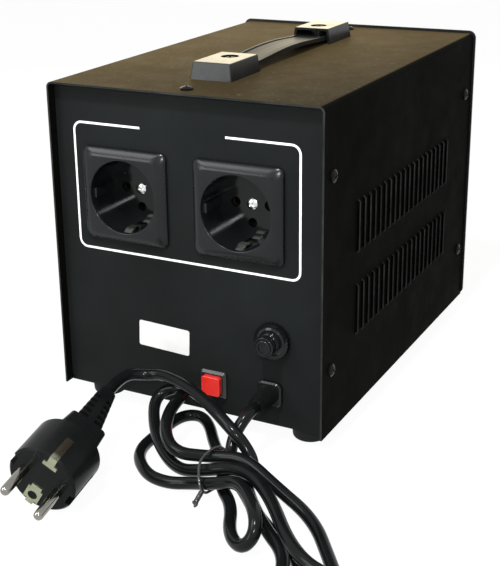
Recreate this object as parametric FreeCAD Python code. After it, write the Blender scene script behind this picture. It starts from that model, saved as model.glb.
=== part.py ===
import FreeCAD, Part
import math
import os

# Voltage stabilizer: a sheet-metal case on four rubber feet, with a strap handle on top,
# two earthed sockets, a breaker and a delay button on its rear panel, a moulded front with
# a meter, lamps and a power switch, and a supply lead tied in a hank with its plug.
# Millimetres. Seen from behind, +X is to the right. Y runs from the rear edge of the cover
# towards the front, Z up from the surface that the feet stand on.

# Case
case_width = 156.0
case_depth = 226.0
cover_height = 170.0
sheet = 1.0
cover_corner = 3.0
fit_gap = 0.2
rear_recess = 5.4
flange_depth = 14.0
panel_corner = 3.0
lip_height = 12.0
rivet_radius = 1.6
rivet_head = 3.0

# Feet
foot_height = 10.2
foot_radius = 9.85
foot_taper = 0.9
foot_edge = 1.5
foot_inset = 15.6
foot_rear = 21.0
foot_front_inset = 23.0
foot_screw_radius = 2.0
foot_recess_radius = 5.0
foot_recess_depth = 4.5

# Louvres in both sides, their mouths towards the rear
louvre_count = 20
louvre_pitch = 7.24
louvre_first = 42.5
louvre_length = 29.7
louvre_rows = (41.0, 85.8)
louvre_width = 4.6
louvre_rise = 1.6
louvre_skin = 0.7

# Cover screws
screw_shank = 1.5
screw_hole_gap = 0.05
screw_clear = 0.3
screw_head_radius = 3.3
screw_head_height = 1.9
screw_length = 8.0
side_screw_rear = 10.5
side_screw_inset = 12.7
side_screw_low = 34.8
side_screw_high = 135.0
top_screw_rear = 10.0
top_screw_inset = 10.0

# Front
bezel_out = 3.0
bezel_side = 1.2
bezel_top = 1.7
bezel_low = 0.6
bezel_corner = 4.5
bezel_edge = 1.8
spigot_depth = 7.0
spigot_wall = 2.0
front_panel_gap = 0.3
window_width = 104.0
window_height = 46.0
window_centre = 122.0
window_corner = 4.0
groove_count = 5
groove_pitch = 6.5
groove_width = 2.0
groove_depth = 1.0
groove_length = 104.0
groove_low = 12.0

# Meter behind the window
meter_wall = 1.6
meter_depth = 20.0
lens_thick = 2.0
dial_setback = 9.0
dial_thick = 1.0
needle_length = 28.0
needle_tail = 6.0
needle_width = 1.2
needle_thick = 0.6
needle_setback = 3.6
needle_drop = 11.0
needle_start = 45.0
hub_radius = 3.0
hub_height = 2.4
arbor_radius = 0.8
arbor_gap = 0.05
movement_radius = 10.0
movement_depth = 7.0

# Indicator lamps
lamp_radius = 2.5
lamp_flange = 3.6
lamp_reach = 3.4
lamp_point = 1.3
lamp_shoulder = 1.6
lamp_length = 10.0
lamp_pitch = 22.0
lamp_height = 84.0
lamp_gap = 0.1

# Power switch, its rocker tipping on a level pin
switch_width = 15.0
switch_height = 21.0
switch_flange = 1.8
switch_body_width = 12.6
switch_body_height = 18.8
switch_depth = 16.0
switch_centre = 58.0
switch_side = -44.0
rocker_width = 9.6
rocker_half = 7.4
rocker_rise = 2.6
rocker_dish = 1.6
rocker_tilt = 10.0
rocker_gap = 0.4
rocker_foot = 5.0
rocker_pin = 0.8
pivot_depth = 2.6
pivot_radius = 1.2
pivot_gap = 0.05

# Sockets
socket_side_left = -35.3
socket_side_right = 30.3
socket_level = 112.5
socket_size = 50.0
socket_corner = 3.5
socket_proud = 4.0
socket_plate = 1.2
socket_slope = 4.4
socket_face_corner = 2.0
socket_round = 1.8
socket_bore = 19.5
socket_wall = 2.5
socket_depth = 18.9
socket_floor = 3.0
socket_chamber = 14.0
contact_spread = 9.5
contact_hole = 2.75
contact_bore = 2.35
contact_outer = 3.2
polar_hole = 2.5
polar_drop = 10.0
rib_width = 5.0
rib_proud = 2.4
rib_setback = 2.0
clip_slot = 5.6
clip_slot_depth = 1.4
clip_width = 4.4
clip_thick = 0.8
clip_bulge = 3.0
centre_screw_radius = 3.0
centre_screw_height = 1.4
centre_screw_shank = 1.5
centre_boss = 3.2
centre_screw_grip = 5.0

# Delay button
delay_side = 14.6
delay_level = 16.5
delay_size = 15.0
delay_proud = 2.6
delay_bevel = 1.2
delay_body = 12.8
delay_depth = 16.0
delay_cap = 10.6
delay_cap_proud = 2.6
delay_cap_corner = 1.6
delay_cap_length = 11.0
delay_travel = 3.0
delay_gap = 0.15
delay_stem = 4.0

# Breaker
breaker_inset = 29.2
breaker_level = 47.6
breaker_neck = 5.3
breaker_reach = 12.0
breaker_nut = 9.2
breaker_tooth = 0.5
breaker_teeth = 30
breaker_nut_height = 3.2
breaker_bore = 4.0
breaker_button = 3.92
breaker_button_out = 0.8
breaker_button_length = 12.0
breaker_box_width = 18.0
breaker_box_height = 32.0
breaker_box_depth = 24.0

# Supply lead and its gland
cord_radius = 3.1
gland_inset = 30.7
gland_level = 18.0
gland_flange = 6.8
gland_corner = 3.4
gland_flange_height = 3.0
gland_root = 5.6
gland_tip = 4.3
gland_reach = 17.4
gland_tail = 8.0
gland_tail_radius = 5.4

# Handle
cap_width = 24.0
cap_length = 32.0
cap_height = 9.0
cap_draft = 1.2
cap_wall = 1.4
cap_round = 0.6
cap_rear = 34.0
cap_front_inset = 35.5
cap_screw_inset = 21.5
cap_recess_radius = 4.8
cap_recess_depth = 2.0
cap_screw_radius = 4.3
cap_screw_height = 1.8
cap_boss = 4.0
strap_width = 19.0
strap_thick = 1.8
strap_edge = 1.6
strap_edge_rise = 0.5
strap_lift = 2.2
strap_rise = 2.8
strap_slot_gap = 0.6
strap_slot_play = 5.0
strap_end = 14.0

# Plug, lying nose down and rolled on its side, its strain relief bent a little to one side
plug_face = 17.6
plug_depth = 25.5
plug_edge = 1.0
plug_neck_width = 23.0
plug_neck_height = 16.0
plug_neck_corner = 2.4
plug_grip = 41.0
plug_grip_width = 20.0
plug_grip_height = 15.0
plug_length = 69.0
plug_root_width = 15.0
plug_root_height = 12.5
plug_root_corner = 2.2
plug_tail_width = 9.0
plug_tail_height = 9.4
plug_tail_corner = 2.6
plug_lean = 3.0
plug_slot_count = 5
plug_slot_pitch = 4.1
plug_slot_width = 2.2
plug_slot_first = 43.0
plug_spine = 2.0
plug_notch_width = 6.0
plug_notch_depth = 2.8
plug_notch_length = 20.0
plug_pin_radius = 2.4
plug_pin_length = 19.0
plug_pin_spread = 9.4
plug_earth_width = 4.0
plug_earth_thick = 1.0
plug_earth_length = 15.0
plug_tab_width = 7.6
plug_tab_inner = 10.5
plug_tab_outer = 12.8
plug_plate_width = 8.0
plug_plate_inner = 7.0
plug_plate_outer = 15.2
plug_tongue_width = 5.5
plug_tongue_inner = 4.7
plug_earth_hole = 2.5
plug_earth_drop = 11.6
plug_place = (-17.2, -104.3, 17.5)
plug_yaw = 4.8
plug_dip = 8.5
plug_roll = 32.8

# Hank tie, a wire twisted round three strands of the lead
tie_radius = 0.7
tie_gap = 0.6
tie_tail = 8.0
tie_ball = 1.4
tie_first = (41.7, -45.3, 15.6)
tie_last = (42.9, -60.2, 8.4)
tie_axis = (1.0, -0.11, 0.24)

# Transformer on the tray
core_width = 86.0
core_height = 72.0
core_stack = 50.0
core_leg = 29.0
core_window = 14.0
core_yoke = 14.5
core_front_inset = 108.0
winding_build = 12.5
winding_gap = 0.4
strap_plate = 1.5
bracket_foot = 14.0
bracket_gap = 0.3
bolt_radius = 2.0
bracket_bolt = 9.0

# Control board
board_width = 118.0
board_length = 44.0
board_thick = 1.6
board_front_inset = 45.0
board_lift = 8.0
post_radius = 3.2
post_screw = 1.3
post_inset = 5.0
relay_count = 4
relay_width = 19.0
relay_length = 15.5
relay_height = 16.0
relay_pitch = 24.0
capacitor_radius = 6.5
capacitor_height = 20.0
capacitor_side_inset = 15.0
capacitor_rear_inset = 11.0
terminal_count = 6
terminal_pitch = 8.0

# The lead's route, in the order that it runs: out of the gland and under the bundle, round
# the small loop, the outer left loop, the first long loop, the inner left loop and the second
# long loop, then over the bundle and in an arch down into the plug's tail
lead_points = [
    (43.0, -28.0, 18.2), (45.0, -35.0, 11.2), (47.0, -45.0, 8.7), (49.5, -54.0, 5.7),
    (61.0, -64.0, 3.7), (70.0, -84.5, 3.2), (80.5, -93.0, 3.2), (87.0, -92.0, 10.7),
    (84.0, -84.5, 17.7), (64.5, -62.0, 16.7), (49.0, -61.5, 10.7), (36.5, -58.5, 6.2),
    (24.0, -60.0, 3.7), (9.5, -57.0, 3.2), (-6.0, -40.5, 3.2), (-7.0, -18.0, 3.2),
    (-5.5, 6.0, 3.7), (8.5, 8.0, 4.2), (30.0, -22.5, 3.2), (56.5, -46.0, 3.2),
    (76.5, -67.5, 3.2), (111.5, -92.0, 3.2), (115.5, -119.5, 3.2), (130.5, -119.5, 6.2),
    (132.0, -104.5, 9.7), (109.5, -100.5, 12.7), (79.5, -64.0, 17.2), (60.0, -53.0, 18.2),
    (39.0, -53.0, 10.7), (22.0, -49.5, 5.2), (-1.5, -30.0, 7.7), (-16.5, -6.0, 19.2),
    (4.5, -2.0, 26.6), (5.0, -31.5, 21.3), (20.0, -50.5, 14.7), (40.0, -45.5, 14.7),
    (58.0, -45.0, 18.7), (78.5, -54.0, 13.2), (101.5, -62.0, 6.7), (119.0, -84.0, 3.2),
    (146.5, -122.5, 3.2), (109.0, -130.0, 4.2), (105.5, -95.5, 6.2), (84.0, -79.5, 9.2),
    (62.5, -54.5, 10.7), (59.5, -37.0, 9.2), (53.0, -32.5, 16.2), (44.5, -33.5, 25.7),
    (17.5, -18.0, 32.2), (-8.5, -7.0, 32.2), (-19.0, -8.0, 30.0), (-26.0, -14.5, 32.0),
]
lead_straight = 8.5
hank_first_count = 6
hank_last_count = 50

os.makedirs("parts", exist_ok=True)
V = FreeCAD.Vector

base = foot_height
top = base + cover_height
inner_half = case_width / 2 - sheet - fit_gap
side_screw_front = case_depth - side_screw_inset
top_screw_front = case_depth - top_screw_inset
foot_side = case_width / 2 - foot_inset
foot_front = case_depth - foot_front_inset
breaker_side = case_width / 2 - breaker_inset
gland_side = case_width / 2 - gland_inset
cap_front = case_depth - cap_front_inset
core_place = case_depth - core_front_inset
board_place = case_depth - board_front_inset
panel_back = rear_recess + sheet
bezel_face = case_depth + bezel_out
front_panel_face = case_depth - spigot_depth - front_panel_gap
rear_end = rear_recess - gland_reach
front_end = bezel_face + lamp_reach
middle_y = (rear_end + front_end) / 2


def block(x0, x1, y0, y1, z0, z1):
    return Part.makeBox(x1 - x0, y1 - y0, z1 - z0, V(x0, y0, z0))


def rounded_face(x0, x1, z0, z1, radius, y):
    # A rectangle with round corners, in the plane across Y
    edges = []
    corners = [(x1, z0, -90), (x1, z1, 0), (x0, z1, 90), (x0, z0, 180)]
    arcs = []
    for x, z, start in corners:
        cx = x - math.copysign(radius, x - (x0 + x1) / 2)
        cz = z - math.copysign(radius, z - (z0 + z1) / 2)
        points = []
        for angle in (start, start + 45, start + 90):
            turn = math.radians(angle)
            points.append(V(cx + radius * math.cos(turn), y, cz + radius * math.sin(turn)))
        arcs.append(points)
    for here, after in zip(arcs, arcs[1:] + arcs[:1]):
        edges.append(Part.Arc(*here).toShape())
        if (after[0] - here[2]).Length > 1e-6:
            edges.append(Part.LineSegment(here[2], after[0]).toShape())
    return Part.Face(Part.Wire(edges))


def rounded_block(x0, x1, z0, z1, radius, y0, y1):
    return rounded_face(x0, x1, z0, z1, radius, y0).extrude(V(0, y1 - y0, 0))


def round_bar(x, z, radius, y0, y1):
    return Part.makeCylinder(radius, y1 - y0, V(x, y0, z), V(0, 1, 0))


def upright(x, y, radius, z0, z1):
    return Part.makeCylinder(radius, z1 - z0, V(x, y, z0))


def turned(profile, x, z):
    # Points are (radius, y), turned about the line along Y through x, z
    points = [V(x + radius, y, z) for radius, y in profile]
    face = Part.Face(Part.makePolygon(points + points[:1]))
    return face.revolve(V(x, 0, z), V(0, 1, 0), 360)


def plane_sided(corners, sides):
    # A closed solid from its corner points and the corners of each side
    faces = []
    for side in sides:
        loop = [corners[index] for index in side]
        faces.append(Part.Face(Part.makePolygon(loop + loop[:1])))
    return Part.Solid(Part.Shell(faces))


def drafted(low_x, low_y, z0, high_x, high_y, z1):
    # A flat-sided block whose top rectangle differs from its bottom one
    corners = []
    for (x0, x1), (y0, y1), z in ((low_x, low_y, z0), (high_x, high_y, z1)):
        corners += [V(x0, y0, z), V(x1, y0, z), V(x1, y1, z), V(x0, y1, z)]
    sides = [(0, 3, 2, 1), (4, 5, 6, 7), (0, 1, 5, 4), (1, 2, 6, 5), (2, 3, 7, 6), (3, 0, 4, 7)]
    return plane_sided(corners, sides)


def whole(shape):
    # Fuses can leave a compound that holds one solid
    shape = shape.removeSplitter()
    if shape.ShapeType == "Compound" and len(shape.Solids) == 1:
        return shape.Solids[0]
    return shape


def joined(first, *others):
    return whole(first.fuse(list(others)))


def less(first, *others):
    return whole(first.cut(list(others)))


def edges_where(shape, test):
    return [edge for edge in shape.Edges if test(edge.BoundBox)]


def edges_on_y(shape, y):
    return edges_where(shape, lambda b: abs(b.YMin - y) < 0.001 and abs(b.YMax - y) < 0.001)


def aimed(shape, place, direction):
    # Turns a piece made along +Z to its direction, then sets it in place
    copy = shape.copy()
    copy.Placement = FreeCAD.Placement(V(*place), FreeCAD.Rotation(V(0, 0, 1), direction))
    return copy


def pan_screw(head, height, shank, length):
    # Head above the seat, shank below it
    points = [(0, height), (0.6 * head, height), (head, 0.4 * height), (head, 0)]
    points += [(shank, 0), (shank, -length), (0, -length)]
    outline = [V(radius, 0, z) for radius, z in points]
    face = Part.Face(Part.makePolygon(outline + outline[:1]))
    return face.revolve(V(0, 0, 0), V(0, 0, 1), 360)


def group(pieces):
    return Part.makeCompound(pieces)


def put(name, shape):
    moved = shape.copy()
    moved.translate(V(0, -middle_y, 0))
    if not moved.isValid() or not moved.Solids or min(solid.Volume for solid in moved.Solids) < 0.1:
        print("not sound:", name, len(moved.Solids))
    moved.exportStep("parts/%s.step" % name)


# Tangent arcs at each corner of a route: start, middle, end and radius
def corner_arcs(points):
    arcs = []
    for before, corner, after in zip(points, points[1:], points[2:]):
        into = corner - before
        out = after - corner
        reach = 0.45 * min(into.Length, out.Length)
        turn = into.getAngle(out)
        radius = reach / math.tan(turn / 2)
        into.normalize()
        out.normalize()
        inward = (out - into).normalize()
        middle = corner + inward * (radius / math.cos(turn / 2) - radius)
        arcs.append((corner - into * reach, middle, corner + out * reach, radius))
    return arcs


def path_wire(start, arcs, end):
    edges = []
    here = start
    for first, middle, last, radius in arcs:
        edges.append(Part.LineSegment(here, first).toShape())
        edges.append(Part.Arc(first, middle, last).toShape())
        here = last
    edges.append(Part.LineSegment(here, end).toShape())
    return Part.Wire(edges)


def tube(label, start, arcs, end, radius):
    wire = path_wire(start, arcs, end)
    direction = arcs[0][0] - start
    ring = Part.Wire(Part.makeCircle(radius, start, direction))
    solid = wire.makePipeShell([ring], True, False)
    expected = math.pi * radius ** 2 * wire.Length
    print("%s: length %.0f, volume over section by length %.4f, least radius %.1f"
          % (label, wire.Length, solid.Volume / expected, min(arc[3] for arc in arcs)))
    return solid, wire


def least_gap(wire, radius, step):
    # Smallest gap between stretches of one path that are not neighbours along it
    count = int(wire.Length / step)
    points = [(p.x, p.y, p.z) for p in wire.discretize(count)]
    apart = int(6 * radius / step)
    least = 1e9
    for i, a in enumerate(points):
        for b in points[i + apart:]:
            dx = a[0] - b[0]
            dy = a[1] - b[1]
            dz = a[2] - b[2]
            least = min(least, dx * dx + dy * dy + dz * dz)
    return math.sqrt(least) - 2 * radius


def side_screw_places():
    return [(y, base + z) for y in (side_screw_rear, side_screw_front) for z in (side_screw_low, side_screw_high)]


def louvre(grow, rise, near, far, low, high):
    # A hood pressed out of the right side: open mouth towards the rear, sloping back to the sheet
    face = case_width / 2
    slant = rise + 0.4
    corners = [
        V(face - grow, near, low), V(face - grow, far, low), V(face - grow, far, high), V(face - grow, near, high),
        V(face + rise, near, low + slant), V(face + rise, near, high - slant),
    ]
    sides = [(0, 3, 2, 1), (0, 4, 5, 3), (1, 2, 5, 4), (0, 1, 4), (3, 5, 2)]
    return plane_sided(corners, sides)


def make_cover():
    half = case_width / 2
    outer = rounded_block(-half, half, base - 2 * cover_corner, top, cover_corner, 0, case_depth)
    inner = rounded_block(-half + sheet, half - sheet, base - 3 * cover_corner, top - sheet,
                          cover_corner - sheet, -1, case_depth + 1)
    shell = less(outer, inner, block(-case_width, case_width, -1, case_depth + 1, -case_width, base))
    hoods = []
    mouths = []
    for row in louvre_rows:
        low = base + row
        high = low + louvre_length
        for number in range(louvre_count):
            near = louvre_first + number * louvre_pitch
            far = near + louvre_width
            hoods.append(louvre(sheet / 2, louvre_rise, near, far, low, high))
            mouths.append(louvre(sheet + 0.5, louvre_rise - louvre_skin, near - 0.01, far - 1.6 * louvre_skin,
                                 low + louvre_skin, high - louvre_skin))
    middle = V(0, 0, 0)
    across = V(1, 0, 0)
    hoods += [hood.mirror(middle, across) for hood in hoods]
    mouths += [mouth.mirror(middle, across) for mouth in mouths]
    shell = shell.fuse(hoods)
    holes = []
    for y, z in side_screw_places():
        holes.append(Part.makeCylinder(screw_shank + screw_clear, case_width + 2, V(-half - 1, y, z), V(1, 0, 0)))
    for y in (top_screw_rear, top_screw_front):
        holes.append(upright(0, y, screw_shank + screw_clear, top - sheet - 1, top + 1))
    for y in handle_screw_places():
        holes.append(upright(0, y, screw_shank + screw_clear, top - sheet - 1, top + 1))
    return whole(shell.cut(mouths + holes))


def handle_screw_places():
    return (cap_rear + cap_screw_inset, cap_front - cap_screw_inset)


def pan(y0, y1, plate_y0, plate_y1):
    # A sheet panel with a flange folded along all four edges
    low = base + sheet
    high = top - sheet - fit_gap
    outer = rounded_block(-inner_half, inner_half, low, high, panel_corner, y0, y1)
    if plate_y0 > y0:
        hollow = (y0 - 1, plate_y0)
    else:
        hollow = (plate_y1, y1 + 1)
    inner = rounded_block(-inner_half + sheet, inner_half - sheet, low + sheet, high - sheet,
                          panel_corner - sheet, hollow[0], hollow[1])
    return less(outer, inner)


def flange_holes(y_side, y_top):
    holes = []
    radius = screw_shank + screw_hole_gap
    for y, z in side_screw_places():
        if abs(y - y_side) < flange_depth:
            holes.append(Part.makeCylinder(radius, case_width, V(-case_width / 2, y, z), V(1, 0, 0)))
    holes.append(upright(0, y_top, radius, top - 5 * sheet, top))
    return holes


def rivet_places():
    rear = rear_recess + flange_depth / 2
    front = front_panel_face - flange_depth / 2
    return [(side * inner_half / 2, y) for y in (rear, front) for side in (-1, 1)]


def floor_holes():
    # Through the flange that lies on the tray: rivets fit closely, foot screws pass freely
    holes = []
    for x, y in rivet_places():
        holes.append(upright(x, y, rivet_radius + screw_hole_gap, base, base + 3 * sheet))
    for x, y in foot_places():
        holes.append(upright(x, y, foot_screw_radius + screw_clear, base, base + 3 * sheet))
    return holes


def make_rear_panel():
    shape = pan(rear_recess, rear_recess + flange_depth, rear_recess, panel_back)
    holes = flange_holes(side_screw_rear, top_screw_rear)
    for x in (socket_side_left, socket_side_right):
        holes.append(round_bar(x, base + socket_level, socket_bore + socket_wall + fit_gap, rear_recess - 1,
                               panel_back + 1))
    half = delay_body / 2 + fit_gap
    holes.append(block(delay_side - half, delay_side + half, rear_recess - 1, panel_back + 1,
                       base + delay_level - half, base + delay_level + half))
    holes.append(round_bar(breaker_side, base + breaker_level, breaker_neck + fit_gap, rear_recess - 1,
                           panel_back + 1))
    holes.append(round_bar(gland_side, base + gland_level, gland_tail_radius + fit_gap, rear_recess - 1,
                           panel_back + 1))
    return less(shape, *holes, *floor_holes())


def make_front_panel():
    plate = front_panel_face - sheet
    shape = pan(front_panel_face - flange_depth, front_panel_face, plate, front_panel_face)
    holes = flange_holes(side_screw_front, top_screw_front)
    half_wide = window_width / 2 + meter_wall + fit_gap
    half_high = window_height / 2 + meter_wall + fit_gap
    middle = base + window_centre
    holes.append(block(-half_wide, half_wide, plate - 1, front_panel_face + 1, middle - half_high,
                       middle + half_high))
    half_wide = switch_body_width / 2 + fit_gap
    half_high = switch_body_height / 2 + fit_gap
    middle = base + switch_centre
    holes.append(block(switch_side - half_wide, switch_side + half_wide, plate - 1, front_panel_face + 1,
                       middle - half_high, middle + half_high))
    return less(shape, *holes, *floor_holes())


def make_tray():
    plate = block(-inner_half, inner_half, rear_recess, front_panel_face, base, base + sheet)
    lips = []
    start = rear_recess + flange_depth + 2 * sheet
    end = front_panel_face - flange_depth - 2 * sheet
    for side in (-1, 1):
        x = sorted((side * inner_half, side * (inner_half - sheet)))
        lips.append(block(x[0], x[1], start, end, base, base + sheet + lip_height))
    holes = []
    for x, y in rivet_places():
        holes.append(upright(x, y, rivet_radius + screw_hole_gap, base - 1, base + 3 * sheet))
    for x, y in foot_places():
        holes.append(upright(x, y, foot_screw_radius + screw_hole_gap, base - 1, base + 2 * sheet))
    for x, y in bracket_bolt_places():
        holes.append(upright(x, y, bolt_radius + screw_hole_gap, base - 1, base + 2 * sheet))
    for x, y in board_post_places():
        holes.append(upright(x, y, post_screw + screw_hole_gap, base - 1, base + 2 * sheet))
    return less(joined(plate, *lips), *holes)


def foot_places():
    return [(side * foot_side, y) for y in (foot_rear, foot_front) for side in (-1, 1)]


def make_foot(x, y):
    cone = Part.makeCone(foot_radius - foot_taper, foot_radius, foot_height, V(x, y, 0))
    ring = edges_where(cone, lambda b: b.ZMax < 0.001)
    cone = cone.makeChamfer(foot_edge, ring)
    recess = upright(x, y, foot_recess_radius, -1, foot_recess_depth)
    hole = upright(x, y, foot_screw_radius + screw_hole_gap, -1, foot_height + 1)
    return less(cone, recess, hole)


def make_foot_screw(x, y):
    length = foot_height - foot_recess_depth + sheet + 2.0
    screw = pan_screw(foot_screw_radius * 2, foot_screw_radius, foot_screw_radius, length)
    return aimed(screw, (x, y, foot_recess_depth), V(0, 0, -1))


def make_rivet(x, y):
    shank = upright(x, y, rivet_radius, base, base + 2 * sheet)
    head = Part.makeCone(rivet_head - 0.8, rivet_head, 0.9, V(x, y, base - 0.9))
    tail = Part.makeCone(rivet_head, rivet_head - 0.8, 0.9, V(x, y, base + 2 * sheet))
    return joined(head, shank, tail)


def make_bezel():
    half = case_width / 2 + bezel_side
    low = base - bezel_low
    high = top + bezel_top
    plate = rounded_block(-half, half, low, high, bezel_corner, case_depth, bezel_face)
    plate = plate.makeChamfer(bezel_edge, edges_on_y(plate, bezel_face))
    rim_low = base + sheet + fit_gap
    rim = rounded_block(-inner_half, inner_half, rim_low, top - sheet - fit_gap, panel_corner,
                        case_depth - spigot_depth, case_depth)
    hollow = rounded_block(-inner_half + spigot_wall, inner_half - spigot_wall, rim_low + spigot_wall,
                           top - sheet - fit_gap - spigot_wall, panel_corner - sheet,
                           case_depth - spigot_depth - 1, case_depth)
    shape = joined(plate, rim.cut(hollow))
    middle = base + window_centre
    cuts = [rounded_block(-window_width / 2, window_width / 2, middle - window_height / 2,
                          middle + window_height / 2, window_corner, case_depth - 1, bezel_face + 1)]
    half_wide = switch_body_width / 2 + fit_gap
    half_high = switch_body_height / 2 + fit_gap
    middle = base + switch_centre
    cuts.append(block(switch_side - half_wide, switch_side + half_wide, case_depth - 1, bezel_face + 1,
                      middle - half_high, middle + half_high))
    for x in lamp_places():
        cuts.append(round_bar(x, base + lamp_height, lamp_radius + lamp_gap, case_depth - 1, bezel_face + 1))
    for number in range(groove_count):
        level = base + groove_low + number * groove_pitch
        cuts.append(rounded_block(-groove_length / 2, groove_length / 2, level, level + groove_width,
                                  groove_width * 0.49, bezel_face - groove_depth, bezel_face + 1))
    return less(shape, *cuts)


def lamp_places():
    return [-lamp_pitch, 0, lamp_pitch]


def make_lamp(x):
    # A blunt tip on a straight body, with a collar behind the moulded front
    tip = bezel_face + lamp_reach
    shoulder = tip - lamp_shoulder
    profile = [(0, shoulder - lamp_length), (lamp_radius, shoulder - lamp_length), (lamp_radius, case_depth - 1.2),
               (lamp_flange, case_depth - 1.2), (lamp_flange, case_depth), (lamp_radius, case_depth),
               (lamp_radius, shoulder), (lamp_point, tip), (0, tip)]
    return turned(profile, x, base + lamp_height)


def make_meter_housing():
    half_wide = window_width / 2
    half_high = window_height / 2
    middle = base + window_centre
    back = case_depth - meter_depth
    outer = rounded_block(-half_wide - meter_wall, half_wide + meter_wall, middle - half_high - meter_wall,
                          middle + half_high + meter_wall, window_corner, back, case_depth)
    inner = rounded_block(-half_wide, half_wide, middle - half_high, middle + half_high,
                          window_corner - meter_wall, back + meter_wall, case_depth + 1)
    ledge_back = case_depth - dial_setback - dial_thick - meter_wall
    ledge = rounded_block(-half_wide - 0.5, half_wide + 0.5, middle - half_high - 0.5, middle + half_high + 0.5,
                          window_corner, ledge_back, ledge_back + meter_wall)
    opening = rounded_block(-half_wide + meter_wall, half_wide - meter_wall, middle - half_high + meter_wall,
                            middle + half_high - meter_wall, window_corner, ledge_back - 1,
                            ledge_back + meter_wall + 1)
    return joined(less(outer, inner), less(ledge, opening))


def make_dial():
    half_wide = window_width / 2 - fit_gap
    half_high = window_height / 2 - fit_gap
    middle = base + window_centre
    front = case_depth - dial_setback
    plate = rounded_block(-half_wide, half_wide, middle - half_high, middle + half_high,
                          window_corner - meter_wall, front - dial_thick, front)
    return less(plate, round_bar(0, middle - needle_drop, arbor_radius * 2, front - 2, front + 1))


def make_movement():
    middle = base + window_centre - needle_drop
    front = case_depth - dial_setback
    coil = round_bar(0, middle, movement_radius, front - dial_thick - movement_depth, front - dial_thick)
    tip = front + needle_setback - needle_thick + hub_height
    return joined(coil, round_bar(0, middle, arbor_radius, front - dial_thick - 1, tip))


def make_needle():
    # A hub on the arbor, a tapered blade and a short counterweight, at the dial's zero stop
    middle = base + window_centre - needle_drop
    back = case_depth - dial_setback + needle_setback - needle_thick
    hub = round_bar(0, middle, hub_radius, back - 1.0, back + hub_height - 1.0)
    tip = middle + needle_length
    tail = middle - needle_tail
    wide = needle_width
    points = [V(-wide / 2, back, middle), V(-wide / 6, back, tip), V(wide / 6, back, tip),
              V(wide / 2, back, middle), V(wide, back, tail), V(-wide, back, tail)]
    blade = Part.Face(Part.makePolygon(points + points[:1])).extrude(V(0, needle_thick, 0))
    shape = joined(hub, blade)
    shape = less(shape, round_bar(0, middle, arbor_radius + arbor_gap, back - 3, back + 5))
    shape.rotate(V(0, 0, middle), V(0, 1, 0), needle_start)
    return shape


def make_lens():
    half_wide = window_width / 2 - lamp_gap
    half_high = window_height / 2 - lamp_gap
    middle = base + window_centre
    return rounded_block(-half_wide, half_wide, middle - half_high, middle + half_high, window_corner,
                         case_depth, case_depth + lens_thick)


def switch_pivot_y():
    return bezel_face + switch_flange - pivot_depth


def make_switch_body():
    x = switch_side
    z = base + switch_centre
    face = bezel_face + switch_flange
    flange = block(x - switch_width / 2, x + switch_width / 2, bezel_face, face, z - switch_height / 2,
                   z + switch_height / 2)
    flange = flange.makeChamfer(0.8, edges_on_y(flange, face))
    body = block(x - switch_body_width / 2, x + switch_body_width / 2, face - switch_depth, bezel_face,
                 z - switch_body_height / 2, z + switch_body_height / 2)
    half_wide = rocker_width / 2 + rocker_gap
    half_high = rocker_half + 3 * rocker_gap
    pocket = block(x - half_wide, x + half_wide, switch_pivot_y() - rocker_foot - 2 * rocker_gap, face + 1,
                   z - half_high, z + half_high)
    reach = half_wide + rocker_pin + rocker_gap
    pin_hole = Part.makeCylinder(pivot_radius + pivot_gap, 2 * reach, V(x - reach, switch_pivot_y(), z),
                                 V(1, 0, 0))
    blades = []
    for step in (-1, 0, 1):
        blades.append(block(x - 2.4, x + 2.4, face - switch_depth - 7, face - switch_depth, z + 6.5 * step - 0.4,
                            z + 6.5 * step + 0.4))
    return joined(less(joined(flange, body), pocket, pin_hole), *blades)


def make_rocker():
    x = switch_side
    z = base + switch_centre
    y = switch_pivot_y()
    half = rocker_half
    outline = [(half, rocker_rise), (0, rocker_dish), (-half, rocker_rise), (-0.95 * half, 0),
               (-0.4 * half, -rocker_foot), (0.4 * half, -rocker_foot), (0.95 * half, 0)]
    points = [V(x - rocker_width / 2, y + out, z + along) for along, out in outline]
    shape = Part.Face(Part.makePolygon(points + points[:1])).extrude(V(rocker_width, 0, 0))
    reach = rocker_width / 2 + rocker_gap + rocker_pin
    pins = Part.makeCylinder(pivot_radius, 2 * reach, V(x - reach, y, z), V(1, 0, 0))
    shape = joined(shape, pins)
    shape.rotate(V(x, y, z), V(1, 0, 0), rocker_tilt)
    return shape


def socket_face():
    return rear_recess - socket_proud


def square_wire(x, z, half, corner, y):
    return rounded_face(x - half, x + half, z - half, z + half, corner, y).OuterWire


def clip_slots(x, z, y0, y1):
    slot_top = socket_bore + clip_slot_depth
    half = clip_slot / 2
    return [block(x - half, x + half, y0, y1, z - slot_top, z - socket_bore + 1),
            block(x - half, x + half, y0, y1, z + socket_bore - 1, z + slot_top)]


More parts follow.
